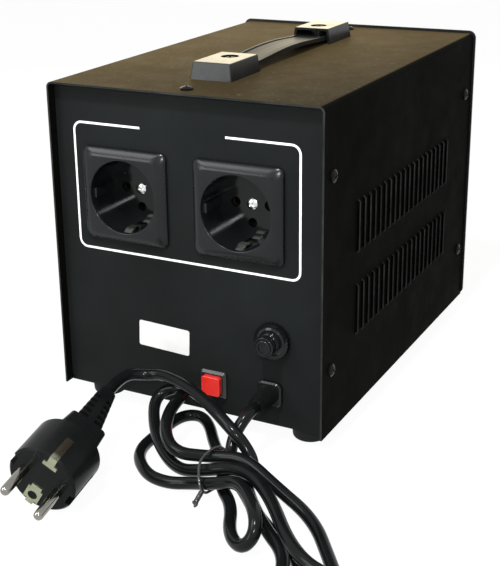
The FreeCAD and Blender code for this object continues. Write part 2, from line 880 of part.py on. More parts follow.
def make_socket(x):
    # A square flange sloping up to its face, round a deep round recess with guide ribs
    z = base + socket_level
    face = socket_face()
    floor = face + socket_depth
    behind = floor + socket_floor
    half = socket_size / 2
    plate_y = rear_recess - socket_plate
    plate = rounded_block(x - half, x + half, z - half, z + half, socket_corner, plate_y, rear_recess)
    slope = Part.makeLoft([square_wire(x, z, half, socket_corner, plate_y),
                           square_wire(x, z, half - socket_slope, socket_face_corner, face)], True, True)
    flange = joined(plate, slope)
    flange = flange.makeFillet(socket_round, edges_on_y(flange, face))
    shape = joined(flange, round_bar(x, z, socket_bore + socket_wall, rear_recess, behind))
    ribs = []
    for side in (-1, 1):
        inner = x + side * (socket_bore - rib_proud)
        outer = x + side * (socket_bore + 0.5 * socket_wall)
        ribs.append(block(min(inner, outer), max(inner, outer), face + rib_setback, floor, z - rib_width / 2,
                          z + rib_width / 2))
    shape = joined(less(shape, round_bar(x, z, socket_bore, face - 1, floor)), *ribs)
    holes = clip_slots(x, z, face + rib_setback, behind + 1)
    for side in (-1, 1):
        holes.append(round_bar(x + side * contact_spread, z, contact_hole, floor - 1, behind + 1))
    holes.append(round_bar(x, z - polar_drop, polar_hole, floor - 1, behind + 1))
    holes.append(round_bar(x, z, centre_screw_shank + screw_hole_gap, floor - 1, behind + 1))
    return less(shape, *holes)


def make_socket_back(x):
    # The cup behind the floor that holds the contacts, drawn up by the centre screw
    z = base + socket_level
    behind = socket_face() + socket_depth + socket_floor
    end = behind + socket_chamber
    cup = round_bar(x, z, socket_bore + socket_wall, behind, end)
    cup = less(cup, round_bar(x, z, socket_bore, behind - 1, end - socket_wall))
    cup = joined(cup, round_bar(x, z, centre_boss, behind, end - socket_wall))
    pilot = round_bar(x, z, centre_screw_shank + screw_hole_gap, behind - 1, behind + centre_screw_grip + 1)
    return less(cup, pilot, *clip_slots(x, z, behind - 1, end - socket_wall))


def make_contacts(x):
    z = base + socket_level
    behind = socket_face() + socket_depth + socket_floor
    end = behind + socket_chamber - socket_wall - fit_gap
    sleeves = []
    for side in (-1, 1):
        at = x + side * contact_spread
        sleeves.append(less(round_bar(at, z, contact_outer, behind, end),
                            round_bar(at, z, contact_bore, behind - 1, end + 1)))
    return group(sleeves)


def make_earth_clips(x):
    # Spring strips in the top and bottom slots, bowed into the recess
    z = base + socket_level
    face = socket_face()
    seat = socket_bore + clip_slot_depth - clip_thick / 2 - fit_gap
    bow = seat - clip_bulge
    behind = face + socket_depth + socket_floor
    stops = [(face + 3.4, seat), (face + 9.0, bow), (face + 14.6, seat), (behind + 6.0, seat)]
    clips = []
    for side in (-1, 1):
        points = [V(x, y, z + side * radius) for y, radius in stops]
        wire = path_wire(points[0], corner_arcs(points), points[-1])
        direction = points[1] - points[0]
        up = direction.cross(V(1, 0, 0)).normalize() * (clip_thick / 2)
        across = V(clip_width / 2, 0, 0)
        at = points[0]
        corners = [at + up + across, at + up - across, at - up - across, at - up + across]
        section = Part.makePolygon(corners + corners[:1])
        clips.append(wire.makePipeShell([section], True, False))
    return group(clips)


def make_centre_screw(x):
    screw = pan_screw(centre_screw_radius, centre_screw_height, centre_screw_shank,
                      socket_floor + centre_screw_grip)
    return aimed(screw, (x, socket_face() + socket_depth, base + socket_level), V(0, -1, 0))


def make_delay_body():
    x = delay_side
    z = base + delay_level
    face = rear_recess - delay_proud
    half = delay_size / 2
    frame = rounded_block(x - half, x + half, z - half, z + half, delay_bevel + 0.4, face, rear_recess)
    frame = frame.makeChamfer(delay_bevel, edges_on_y(frame, face))
    half = delay_body / 2
    body = block(x - half, x + half, rear_recess, rear_recess + delay_depth, z - half, z + half)
    half = delay_cap / 2 + delay_gap
    deep = face - delay_cap_proud + delay_cap_length + delay_travel + 0.3
    well = block(x - half, x + half, face - 1, deep, z - half, z + half)
    stem_hole = round_bar(x, z, delay_stem / 2 + delay_gap, deep - 1, rear_recess + delay_depth + 1)
    return less(joined(frame, body), well, stem_hole)


def make_delay_cap():
    x = delay_side
    z = base + delay_level
    outer = rear_recess - delay_proud - delay_cap_proud
    half = delay_cap / 2
    cap = rounded_block(x - half, x + half, z - half, z + half, delay_cap_corner, outer,
                        outer + delay_cap_length)
    cap = cap.makeFillet(0.6, edges_on_y(cap, outer))
    stem = round_bar(x, z, delay_stem / 2, outer + delay_cap_length, rear_recess + delay_depth + 0.5)
    return joined(cap, stem)


def make_breaker_body():
    x = breaker_side
    z = base + breaker_level
    outer = rear_recess - breaker_reach + breaker_button_out
    neck = round_bar(x, z, breaker_neck, outer, panel_back)
    neck = neck.makeFillet(0.5, edges_on_y(neck, outer))
    box = block(x - breaker_box_width / 2, x + breaker_box_width / 2, panel_back, panel_back + breaker_box_depth,
                z - breaker_box_height / 2, z + breaker_box_height / 2)
    blades = []
    for side in (-1, 1):
        level = z + side * breaker_box_height / 4
        blades.append(block(x - 3.2, x + 3.2, panel_back + breaker_box_depth, panel_back + breaker_box_depth + 8,
                            level - 0.4, level + 0.4))
    bore = round_bar(x, z, breaker_bore, outer - 1, outer + breaker_button_length + 1)
    return joined(less(joined(neck, box), bore), *blades)


def make_breaker_nut():
    # A ring with grip teeth round its rim
    x = breaker_side
    z = base + breaker_level
    points = []
    for number in range(2 * breaker_teeth):
        angle = math.pi * number / breaker_teeth
        radius = breaker_nut + breaker_tooth * (number % 2)
        points.append(V(x + radius * math.cos(angle), rear_recess - breaker_nut_height, z + radius * math.sin(angle)))
    rim = Part.Face(Part.makePolygon(points + points[:1])).extrude(V(0, breaker_nut_height, 0))
    face = rear_recess - breaker_nut_height
    collar = turned([(0, face - 0.8), (breaker_nut - 2.6, face - 0.8), (breaker_nut - 1.6, face), (0, face)], x, z)
    return less(joined(rim, collar), round_bar(x, z, breaker_neck + 0.05, face - 2, rear_recess + 1))


def make_breaker_button():
    x = breaker_side
    z = base + breaker_level
    outer = rear_recess - breaker_reach
    shape = round_bar(x, z, breaker_button, outer, outer + breaker_button_length)
    shape = shape.makeFillet(0.5, edges_on_y(shape, outer))
    return less(shape, round_bar(x, z, breaker_button - 1.3, outer - 1, outer + 0.4))


def make_gland():
    # A square collar against the panel, a long taper round the lead and a short tail inside
    x = gland_side
    z = base + gland_level
    y = rear_recess
    face = y - gland_flange_height
    half = gland_flange
    collar = rounded_block(x - half, x + half, z - half, z + half, gland_corner, face, y)
    collar = collar.makeChamfer(0.8, edges_on_y(collar, face))
    profile = [(0, rear_end), (gland_tip, rear_end), (gland_root, face), (gland_root, y), (gland_tail_radius, y),
               (gland_tail_radius, y + gland_tail), (0, y + gland_tail)]
    return joined(collar, turned(profile, x, z))


def make_cap(outer_end, mouth_end):
    # A hollow cap with sloping sides, open below and at its mouth, with a boss for its screw
    sign = 1 if mouth_end > outer_end else -1
    half = cap_width / 2
    high = top + cap_height
    low_y = sorted((outer_end, mouth_end))
    high_y = sorted((outer_end + sign * cap_draft, mouth_end))
    shell = drafted((-half, half), low_y, top, (-half + cap_draft, half - cap_draft), high_y, high)
    mouth = edges_where(shell, lambda b: abs(b.YMin - mouth_end) < 0.001 and abs(b.YMax - mouth_end) < 0.001)
    shell = shell.makeFillet(cap_round, [edge for edge in shell.Edges if edge.BoundBox.ZMax > top + 0.001
                                         and not any(edge.isSame(other) for other in mouth)])
    inner = half - cap_wall
    low_y = sorted((outer_end + sign * cap_wall, mouth_end + sign))
    high_y = sorted((outer_end + sign * (cap_wall + cap_draft), mouth_end + sign))
    hollow = drafted((-inner, inner), low_y, top, (-inner + cap_draft, inner - cap_draft), high_y, high - cap_wall)
    y = outer_end + sign * cap_screw_inset
    seat = high - cap_recess_depth
    cup = upright(0, y, cap_recess_radius + cap_wall * 0.8, seat - cap_wall * 0.8, high - cap_wall)
    boss = upright(0, y, cap_boss, top, seat)
    recess = upright(0, y, cap_recess_radius, seat, high + 1)
    hole = upright(0, y, screw_shank + screw_clear, top - 1, high)
    return less(joined(less(shell, hollow), cup, boss), recess, hole)


def make_handle_screw(y):
    seat = top + cap_height - cap_recess_depth
    screw = pan_screw(cap_screw_radius, cap_screw_height, screw_shank, cap_height - cap_recess_depth + sheet + 4.0)
    return aimed(screw, (0, y, seat), V(0, 0, 1))


def make_strap():
    # A sprung strap, arched between the caps, with raised edges and a slot round each boss
    first, last = handle_screw_places()
    level = top + strap_lift + strap_thick / 2
    rear_mouth = cap_rear + cap_length
    front_mouth = cap_front - cap_length
    stops = [(first - strap_end, 0), (rear_mouth, 0), ((rear_mouth + front_mouth) / 2, strap_rise),
             (front_mouth, 0), (last + strap_end, 0)]
    points = [V(0, y, level + rise) for y, rise in stops]
    wire = path_wire(points[0], corner_arcs(points), points[-1])
    start = points[0]

    def band(low_x, high_x, thick):
        corners = [start + V(low_x, 0, -strap_thick / 2), start + V(high_x, 0, -strap_thick / 2),
                   start + V(high_x, 0, thick - strap_thick / 2), start + V(low_x, 0, thick - strap_thick / 2)]
        return wire.makePipeShell([Part.makePolygon(corners + corners[:1])], True, False)

    half = strap_width / 2
    shape = joined(band(-half, half, strap_thick), band(-half, -half + strap_edge, strap_thick + strap_edge_rise),
                   band(half - strap_edge, half, strap_thick + strap_edge_rise))
    slot = cap_boss + strap_slot_gap
    cuts = []
    for y, outward in ((first, -1), (last, 1)):
        ends = sorted((y, y + outward * strap_slot_play))
        cuts.append(block(-slot, slot, ends[0], ends[1], level - 3, level + 3))
        for end in ends:
            cuts.append(upright(0, end, slot, level - 3, level + 3))
    return less(shape, *cuts)


def bracket_bolt_places():
    reach = core_width / 2 + strap_plate + bracket_foot / 2
    return [(side * reach, core_place + step) for side in (-1, 1) for step in (-bracket_bolt, bracket_bolt)]


def core_floor():
    return base + sheet


def make_core():
    half = core_width / 2
    low = core_floor()
    near = core_place - core_stack / 2
    far = core_place + core_stack / 2
    shape = block(-half, half, near, far, low, low + core_height)
    windows = []
    for side in (-1, 1):
        x = sorted((side * core_leg / 2, side * (core_leg / 2 + core_window)))
        windows.append(block(x[0], x[1], near - 1, far + 1, low + core_yoke, low + core_height - core_yoke))
    return less(shape, *windows)


def make_winding():
    low = core_floor() + core_yoke + winding_gap
    high = core_floor() + core_height - core_yoke - winding_gap
    half_x = core_leg / 2 + core_window - winding_gap
    half_y = core_stack / 2 + winding_build
    edge = 4.0
    ring = block(-half_x, half_x, core_place - half_y, core_place + half_y, low, high)
    ring = ring.makeFillet(edge, edges_where(ring, lambda b: b.ZLength > 1))
    hole_x = core_leg / 2 + winding_gap
    hole_y = core_stack / 2 + winding_gap
    return less(ring, block(-hole_x, hole_x, core_place - hole_y, core_place + hole_y, low - 1, high + 1))


def make_bracket():
    # A strap over the core with a foot on each side
    half = core_width / 2 + fit_gap / 2
    low = core_floor()
    high = low + core_height + fit_gap / 2
    near = core_place - bracket_bolt - 8
    far = core_place + bracket_bolt + 8
    plate = strap_plate
    outer = block(-half - plate, half + plate, near, far, low, high + plate)
    inner = block(-half, half, near - 1, far + 1, low - 1, high)
    shape = less(outer, inner)
    feet = []
    for side in (-1, 1):
        x = sorted((side * half, side * (half + plate + bracket_foot)))
        feet.append(block(x[0], x[1], near, far, low, low + plate))
    holes = []
    for x, y in bracket_bolt_places():
        holes.append(upright(x, y, bolt_radius + screw_hole_gap, low - 1, low + plate + 1))
    return less(joined(shape, *feet), *holes)


def make_bracket_bolt(x, y):
    screw = pan_screw(2 * bolt_radius, 1.3 * bolt_radius, bolt_radius, strap_plate + sheet + 3.0)
    return aimed(screw, (x, y, core_floor() + strap_plate), V(0, 0, 1))


def board_post_places():
    x = board_width / 2 - post_inset
    y = board_length / 2 - post_inset
    return [(side * x, board_place + step) for side in (-1, 1) for step in (-y, y)]


def board_floor():
    return base + sheet + board_lift


def make_board():
    low = board_floor()
    shape = block(-board_width / 2, board_width / 2, board_place - board_length / 2,
                  board_place + board_length / 2, low, low + board_thick)
    holes = []
    for x, y in board_post_places():
        holes.append(upright(x, y, post_screw + screw_hole_gap, low - 1, low + board_thick + 1))
    return less(shape, *holes)


def make_post(x, y):
    hexagon = []
    for number in range(6):
        angle = math.pi * number / 3
        hexagon.append(V(x + post_radius * math.cos(angle), y + post_radius * math.sin(angle), base + sheet))
    shape = Part.Face(Part.makePolygon(hexagon + hexagon[:1])).extrude(V(0, 0, board_lift))
    return less(shape, upright(x, y, post_screw + screw_hole_gap, base, board_floor() + 1))


def make_board_screw(x, y):
    screw = pan_screw(2 * post_screw, 1.2 * post_screw, post_screw, board_thick + board_lift - 1)
    return aimed(screw, (x, y, board_floor() + board_thick), V(0, 0, 1))


def make_relays():
    top_side = board_floor() + board_thick
    first = -relay_pitch * (relay_count - 1) / 2
    relays = []
    for number in range(relay_count):
        x = first + number * relay_pitch
        relay = block(x - relay_width / 2, x + relay_width / 2, board_place + 3, board_place + 3 + relay_length,
                      top_side, top_side + relay_height)
        relays.append(relay.makeChamfer(0.6, edges_where(relay, lambda b: b.ZMin > top_side + 1)))
    return group(relays)


def make_capacitors():
    top_side = board_floor() + board_thick
    reach = board_width / 2 - capacitor_side_inset
    place = board_place - board_length / 2 + capacitor_rear_inset
    cans = []
    for side in (-1, 1):
        can = upright(side * reach, place, capacitor_radius, top_side, top_side + capacitor_height)
        cans.append(can.makeChamfer(0.6, edges_where(can, lambda b: b.ZMin > top_side + 1)))
    return group(cans)


def make_terminals():
    top_side = board_floor() + board_thick
    span = terminal_count * terminal_pitch
    row = block(-span / 2, span / 2, board_place - 19, board_place - 9, top_side, top_side + 10)
    row = row.makeChamfer(1.5, edges_where(row, lambda b: b.ZMin > top_side + 1 and b.XLength > span / 2))
    cuts = []
    for number in range(terminal_count):
        x = -span / 2 + (number + 0.5) * terminal_pitch
        cuts.append(upright(x, board_place - 14, 2.4, top_side + 7.5, top_side + 11))
        cuts.append(block(x - 2, x + 2, board_place - 20, board_place - 15, top_side + 1.5, top_side + 5.5))
    return less(row, *cuts)


def plug_axes():
    # Side, up and pin directions of the plug as it lies
    yaw = math.radians(plug_yaw)
    dip = math.radians(plug_dip)
    roll = math.radians(plug_roll)
    pins = V(math.sin(yaw) * math.cos(dip), -math.cos(yaw) * math.cos(dip), -math.sin(dip))
    level = V(0, 0, 1).cross(pins).normalize()
    upward = pins.cross(level)
    up = upward * math.cos(roll) + level * math.sin(roll)
    side = up.cross(pins)
    return side, up, pins


def lay_plug(shape):
    side, up, pins = plug_axes()
    turn = FreeCAD.Rotation(side, up, pins, "ZXY")
    shape.Placement = FreeCAD.Placement(V(*plug_place), turn)
    return shape


def oblong_wire(wide, high, corner, depth):
    # A round-cornered section across the plug, at a depth behind its face
    face = rounded_face(-wide / 2, wide / 2, -high / 2, high / 2, corner, 0)
    face.rotate(V(0, 0, 0), V(1, 0, 0), 90)
    face.translate(V(0, 0, -depth))
    return face.OuterWire


def relief_lean(depth):
    return -plug_lean * (depth - plug_grip) / (plug_length - plug_grip)


def make_plug_body():
    # A round head with a groove each side, a flat-sided grip and a slotted strain relief
    head = Part.makeCylinder(plug_face, plug_depth, V(0, 0, -plug_depth))
    rims = edges_where(head, lambda b: b.ZLength < 0.001)
    head = head.makeChamfer(plug_edge, rims)
    grip = Part.makeLoft([
        oblong_wire(plug_neck_width, plug_neck_height, plug_neck_corner, plug_depth),
        oblong_wire(plug_grip_width, plug_grip_height, plug_neck_corner, plug_grip),
    ], True, True)
    end = oblong_wire(plug_tail_width, plug_tail_height, plug_tail_corner, plug_length)
    end.translate(V(-plug_lean, 0, 0))
    relief = Part.makeLoft([oblong_wire(plug_root_width, plug_root_height, plug_root_corner, plug_grip), end],
                           True, True)
    slots = []
    for number in range(plug_slot_count):
        depth = plug_slot_first + number * plug_slot_pitch
        middle = relief_lean(depth + plug_slot_width / 2)
        for side in (-1, 1):
            x = sorted((middle + side * plug_spine, middle + side * plug_root_width))
            slots.append(block(x[0], x[1], -plug_root_height, plug_root_height, -depth - plug_slot_width, -depth))
    tail = V(-plug_lean, 0, -plug_length)
    root = V(0, 0, -plug_grip)
    lead = Part.makeCylinder(cord_radius, (tail - root).Length, root, tail - root)
    entry = Part.makeCylinder(cord_radius, 5, tail, tail - root)
    relief = relief.cut(group(slots).cut(lead)).cut(entry)
    cuts = []
    for side in (-1, 1):
        x = sorted((side * (plug_face - plug_notch_depth), side * (plug_face + 2)))
        cuts.append(block(x[0], x[1], -plug_notch_width / 2, plug_notch_width / 2, -plug_notch_length, 1))
        y = sorted((side * (plug_face - plug_earth_thick), side * (plug_face + 2)))
        half = plug_earth_width / 2 + 0.1
        cuts.append(block(-half, half, y[0], y[1], -plug_earth_length, 1))
    return lay_plug(joined(less(head, *cuts), grip, relief))


def make_plug_pins():
    pins = []
    for side in (-1, 1):
        pin = Part.makeCylinder(plug_pin_radius, plug_pin_length, V(side * plug_pin_spread, 0, 0))
        pins.append(pin.makeChamfer(1.2, edges_where(pin, lambda b: b.ZMin > 1)))
    return lay_plug(group(pins))


def face_strip(width, inner, outer):
    # A flat piece on the plug's face, between two distances from its middle
    return block(-width / 2, width / 2, min(inner, outer), max(inner, outer), 0, 0.5)


def make_plug_earth():
    # A strip in each edge groove, one ending in a bar on the face, the other in a plate round a hole
    rim = plug_face - 0.1
    trim = Part.makeCylinder(rim, 3, V(0, 0, -2))
    upper = [face_strip(plug_earth_width, plug_tab_inner, rim), face_strip(plug_tab_width, plug_tab_inner,
                                                                           plug_tab_outer)]
    lower = [face_strip(plug_earth_width, -plug_plate_inner, -rim),
             face_strip(plug_plate_width, -plug_plate_inner, -plug_plate_outer),
             face_strip(plug_tongue_width, -plug_tongue_inner, -plug_plate_inner)]
    strips = []
    for side, pieces in ((1, upper), (-1, lower)):
        y = sorted((side * (plug_face - plug_earth_thick), side * rim))
        half = plug_earth_width / 2
        strip = block(-half, half, y[0], y[1], -plug_earth_length, 0.5)
        flat = [piece.common(trim) for piece in pieces]
        strips.append(joined(strip.common(Part.makeCylinder(rim, 30, V(0, 0, -25))), *flat))
    strips[1] = less(strips[1], Part.makeCylinder(plug_earth_hole, 3, V(0, -plug_earth_drop, -1)))
    return lay_plug(group(strips))


def make_tie():
    # A wire loop round the strands, its twisted end standing off
    first = V(*tie_first)
    last = V(*tie_last)
    along = (last - first).normalize()
    axis = V(*tie_axis)
    axis = (axis - along * axis.dot(along)).normalize()
    off = axis.cross(along).normalize()
    hold = cord_radius + tie_gap + tie_radius
    corners = [first + off * hold, first - along * hold, first - off * hold,
               last - off * hold, last + along * hold, last + off * hold]
    loop = Part.Wire([Part.Arc(corners[0], corners[1], corners[2]).toShape(),
                      Part.LineSegment(corners[2], corners[3]).toShape(),
                      Part.Arc(corners[3], corners[4], corners[5]).toShape(),
                      Part.LineSegment(corners[5], corners[0]).toShape()])
    ring = Part.Wire(Part.makeCircle(tie_radius, corners[0], along))
    band = loop.makePipeShell([ring], True, False)
    way = (along + V(-0.2, -0.3, 0.1)).normalize()
    root = last + along * hold
    twist = Part.makeCylinder(1.3 * tie_radius, tie_tail, root, way)
    return joined(band, twist, Part.makeSphere(tie_ball, root + way * tie_tail))


def lead_route():
    # Straight out of the gland, along the chosen points and straight into the plug's tail
    start = V(gland_side, rear_end, base + gland_level)
    side, up, pins = plug_axes()
    end = V(*plug_place) - pins * plug_length - side * plug_lean
    away = (-pins * (plug_length - plug_grip) - side * plug_lean).normalize()
    points = [start, start - V(0, lead_straight, 0)]
    points += [V(*point) for point in lead_points]
    return points + [end + away * lead_straight, end]


def make_lead():
    points = lead_route()
    arcs = corner_arcs(points)
    whole_wire = path_wire(points[0], arcs, points[-1])
    print("lead in all: length %.0f, least gap to itself %.2f, lowest centre %.2f"
          % (whole_wire.Length, least_gap(whole_wire, cord_radius, 1.5), whole_wire.BoundBox.ZMin))
    print("radii:", " ".join("%.1f" % arc[3] for arc in arcs))
    split = hank_first_count
    first = (arcs[split - 1][2] + arcs[split][0]) * 0.5
    split = hank_last_count
    second = (arcs[split - 1][2] + arcs[split][0]) * 0.5
    stretches = [
        ("supply_lead", points[0], arcs[:hank_first_count], first),
        ("lead_hank", first, arcs[hank_first_count:hank_last_count], second),
        ("plug_lead", second, arcs[hank_last_count:], points[-1]),
    ]
    for name, start, part, end in stretches:
        solid, wire = tube(name, start, part, end, cord_radius)
        put(name, solid)
    put("hank_tie", make_tie())


put("cover", make_cover())
put("rear_panel", make_rear_panel())
put("front_panel", make_front_panel())
put("chassis_tray", make_tray())
put("chassis_rivets", group([make_rivet(x, y) for x, y in rivet_places()]))
put("feet", group([make_foot(x, y) for x, y in foot_places()]))
put("foot_screws", group([make_foot_screw(x, y) for x, y in foot_places()]))

screw = pan_screw(screw_head_radius, screw_head_height, screw_shank, screw_length)
for name, sign in (("left_side_screws", -1), ("right_side_screws", 1)):
    side = sign * case_width / 2
    put(name, group([aimed(screw, (side, y, z), V(sign, 0, 0)) for y, z in side_screw_places()]))
put("top_screws", group([aimed(screw, (0, y, top), V(0, 0, 1)) for y in (top_screw_rear, top_screw_front)]))

put("front_bezel", make_bezel())
put("indicator_lamps", group([make_lamp(x) for x in lamp_places()]))
put("meter_housing", make_meter_housing())
put("meter_dial", make_dial())
put("meter_movement", make_movement())
put("meter_needle", make_needle())
put("meter_lens", make_lens())
put("switch_body", make_switch_body())
put("switch_rocker", make_rocker())

for side, x in (("left", socket_side_left), ("right", socket_side_right)):
    put("%s_socket" % side, make_socket(x))
    put("%s_socket_back" % side, make_socket_back(x))
    put("%s_socket_contacts" % side, make_contacts(x))
    put("%s_earth_clips" % side, make_earth_clips(x))
put("socket_screws", group([make_centre_screw(x) for x in (socket_side_left, socket_side_right)]))

put("delay_button_body", make_delay_body())
put("delay_button_cap", make_delay_cap())
put("breaker_body", make_breaker_body())
put("breaker_nut", make_breaker_nut())
put("breaker_button", make_breaker_button())
put("lead_gland", make_gland())

put("rear_handle_cap", make_cap(cap_rear, cap_rear + cap_length))
put("front_handle_cap", make_cap(cap_front, cap_front - cap_length))
put("handle_strap", make_strap())
put("handle_screws", group([make_handle_screw(y) for y in handle_screw_places()]))

put("transformer_core", make_core())
put("transformer_winding", make_winding())
put("transformer_bracket", make_bracket())
put("transformer_bolts", group([make_bracket_bolt(x, y) for x, y in bracket_bolt_places()]))
put("control_board", make_board())
put("board_posts", group([make_post(x, y) for x, y in board_post_places()]))
put("board_screws", group([make_board_screw(x, y) for x, y in board_post_places()]))
put("relays", make_relays())
put("capacitors", make_capacitors())
put("terminal_block", make_terminals())

put("plug_body", make_plug_body())
put("plug_pins", make_plug_pins())
put("plug_earth_contacts", make_plug_earth())
make_lead()
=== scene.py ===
import math
import bpy
import bmesh
from mathutils import Euler, Matrix, Vector


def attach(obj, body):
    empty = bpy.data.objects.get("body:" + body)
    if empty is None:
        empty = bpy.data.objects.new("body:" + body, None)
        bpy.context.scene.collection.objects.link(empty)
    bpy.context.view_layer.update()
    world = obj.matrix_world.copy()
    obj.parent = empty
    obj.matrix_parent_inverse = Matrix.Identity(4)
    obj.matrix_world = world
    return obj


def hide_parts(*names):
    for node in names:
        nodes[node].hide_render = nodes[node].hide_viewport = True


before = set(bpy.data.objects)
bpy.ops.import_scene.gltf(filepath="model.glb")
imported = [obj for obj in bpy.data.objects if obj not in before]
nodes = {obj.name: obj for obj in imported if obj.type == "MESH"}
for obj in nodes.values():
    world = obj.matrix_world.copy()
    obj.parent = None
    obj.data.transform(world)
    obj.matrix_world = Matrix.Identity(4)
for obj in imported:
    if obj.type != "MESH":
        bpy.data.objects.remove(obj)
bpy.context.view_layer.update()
scene = bpy.context.scene
print("frame loaded:", len(nodes), "nodes")

# what several pieces share, in mm

mm = 0.001
yMiddle = 110.2     # the cover's rear edge is this far behind the origin
baseLevel = 10.2    # the feet's height
panelFace = 5.4     # the rear panel lies this far inside the cover's rear edge
socketMiddles = {"left": (-35.3, 122.7), "right": (30.3, 122.7)}     # x and height
footPlaces = [(side * 62.4, y) for y in (21.0, 203.0) for side in (-1, 1)]
plugForward = (0.0828, -0.9855, -0.1478)     # the way that the plug's pins point


def at(x, y, z):
    # x, y from the cover's rear edge and z above the floor, in mm
    return Vector((x, y - yMiddle, z)) * mm


def addObject(name, data):
    made = bpy.data.objects.new(name, data)
    scene.collection.objects.link(made)
    return made


# camera at the photograph's angle

camera = {
    "eye": (0.28767, -0.59385, 0.29553),
    "azimuth": 29.37,
    "elevation": 19.12,
    "roll": -1.33,
    "lens": 84.77,
    "sensor": 36,
    "shift": (0.0839, -0.0692),
    "clip": (0.01, 50),
}


def makeCamera(values):
    az, el, roll = (math.radians(values[key]) for key in ("azimuth", "elevation", "roll"))
    back = Vector((math.sin(az) * math.cos(el), -math.cos(az) * math.cos(el), math.sin(el)))
    right = Vector((math.cos(az), math.sin(az), 0))
    up = back.cross(right)
    rightRolled = right * math.cos(roll) + up * math.sin(roll)
    upRolled = up * math.cos(roll) - right * math.sin(roll)
    data = bpy.data.cameras.new("camera")
    data.sensor_fit = "HORIZONTAL"
    data.sensor_width = values["sensor"]
    data.lens = values["lens"]
    data.shift_x, data.shift_y = values["shift"]
    data.clip_start, data.clip_end = values["clip"]
    made = addObject("camera", data)
    turn = Matrix((rightRolled, upRolled, back)).transposed().to_4x4()
    made.matrix_world = Matrix.Translation(values["eye"]) @ turn
    scene.camera = made


makeCamera(camera)
scene.view_settings.view_transform = "Standard"
print("camera set")


# node trees by short calls, for finishes and for Geometry Nodes alike

socketKinds = {"Vector": "NodeSocketVector", "Colour": "NodeSocketColor", "Geometry": "NodeSocketGeometry",
               "Material": "NodeSocketMaterial"}


def makeTree(name, inputs, outputs, kind="ShaderNodeTree"):
    # the last word of a label says what its socket carries, and any other word is a number
    tree = bpy.data.node_groups.new(name, kind)
    for way, labels in (("INPUT", inputs), ("OUTPUT", outputs)):
        for label in labels:
            socketType = socketKinds.get(label.split()[-1], "NodeSocketFloat")
            tree.interface.new_socket(label, in_out=way, socket_type=socketType)
    return tree, tree.nodes.new("NodeGroupInput").outputs, tree.nodes.new("NodeGroupOutput").inputs


def feed(tree, value, slot):
    # a socket is linked, a list of sockets too, and anything else is set as it is
    if isinstance(value, list):
        for item in value:
            tree.links.new(item, slot)
    elif isinstance(value, bpy.types.NodeSocket):
        tree.links.new(value, slot)
    else:
        slot.default_value = value


def addNode(tree, kind, settings=None, out=0, **values):
    # values go by input name, with _ for a space; out picks the output, and None gives them all
    node = tree.nodes.new(kind)
    for key, value in (settings or {}).items():
        setattr(node, key, value)
    for key, value in values.items():
        feed(tree, value, node.inputs[key.replace("_", " ")])
    return node.outputs if out is None else node.outputs[out]


def mathNode(tree, operation, *terms):
    # sockets or numbers, taken together from the left
    total = terms[0]
    for term in terms[1:]:
        node = tree.nodes.new("ShaderNodeMath")
        node.operation = operation
        feed(tree, total, node.inputs[0])
        feed(tree, term, node.inputs[1])
        total = node.outputs["Value"]
    return total


def product(tree, *terms):
    return mathNode(tree, "MULTIPLY", *terms)


def dotNode(tree, vector, direction):
    node = tree.nodes.new("ShaderNodeVectorMath")
    node.operation = "DOT_PRODUCT"
    feed(tree, vector, node.inputs[0])
    feed(tree, direction, node.inputs[1])
    return node.outputs["Value"]


def rangeNode(tree, value, fromMin, fromMax, toMin=0.0, toMax=1.0):
    return addNode(tree, "ShaderNodeMapRange", out="Result", Value=value, From_Min=fromMin,
                   From_Max=fromMax, To_Min=toMin, To_Max=toMax)


def noiseNode(tree, vector, scale, detail, rough=0.5):
    return addNode(tree, "ShaderNodeTexNoise", out="Fac", Vector=vector, Scale=scale, Detail=detail,
                   Roughness=rough)


def mixColour(tree, share, under, over):
    return addNode(tree, "ShaderNodeMix", {"data_type": "RGBA"}, "Result", Factor=share, A=under, B=over)


def splitAxes(tree, vector):
    return addNode(tree, "ShaderNodeSeparateXYZ", out=None, Vector=vector)


def combined(tree, x=0.0, y=0.0, z=0.0):
    return addNode(tree, "ShaderNodeCombineXYZ", X=x, Y=y, Z=z)


# effects that the finishes share
# a noise is its scale, detail and roughness, and the cloud and the grain get their scale from the finish;
# a ramp is what comes in and, where not 0 to 1, what goes out

handling = {"cloud": (5, 0.6), "ramp": (0.3, 0.7), "fine": (60, 4, 0.7)}
grainDetail = 2
fleckRamp = (0.62, 0.74)
topDustAndLightLook = {
    "upward": (0.92, 0.99),     # how far a face looks up where dust and the painted top light begin, and where they are full
    "speck": (420, 3, 0.8), "speckRamp": (0.6, 0.74),
    "thin": (22, 4, 0.6), "thinRamp": (0.3, 0.7, 0.82, 1),
    "paintedFalloff": (-2.0, 2.6, 0), "paintedFalloffRamp": (-0.5, 0.4, 0.2, 1.42),     # the way that the painted light on the top grows stronger, towards the far left
}
# painted highlight on the rear-facing cut edges, broken up by noise
edgeHighlightLook = {"rearward": (-0.75, -0.95), "highlightBreakup": (60, 4, 0.7), "highlightBreakupRamp": (0.35, 0.65, 0.45, 1)}


def buildCloudGroup(values):
    # slow change of shade over a surface, and a roughness that goes with handling
    group, given, result = makeTree("handledSurface", (
        "Vector", "Cloud Scale", "Low Colour", "High Colour", "Low Roughness", "High Roughness"),
        ("Colour", "Roughness"))
    cloud = noiseNode(group, given["Vector"], given["Cloud Scale"], *values["cloud"])
    share = rangeNode(group, cloud, *values["ramp"])
    shade = mixColour(group, share, given["Low Colour"], given["High Colour"])
    fine = noiseNode(group, given["Vector"], *values["fine"])
    rough = rangeNode(group, fine, *values["ramp"], given["Low Roughness"], given["High Roughness"])
    feed(group, shade, result["Colour"])
    feed(group, rough, result["Roughness"])
    return group


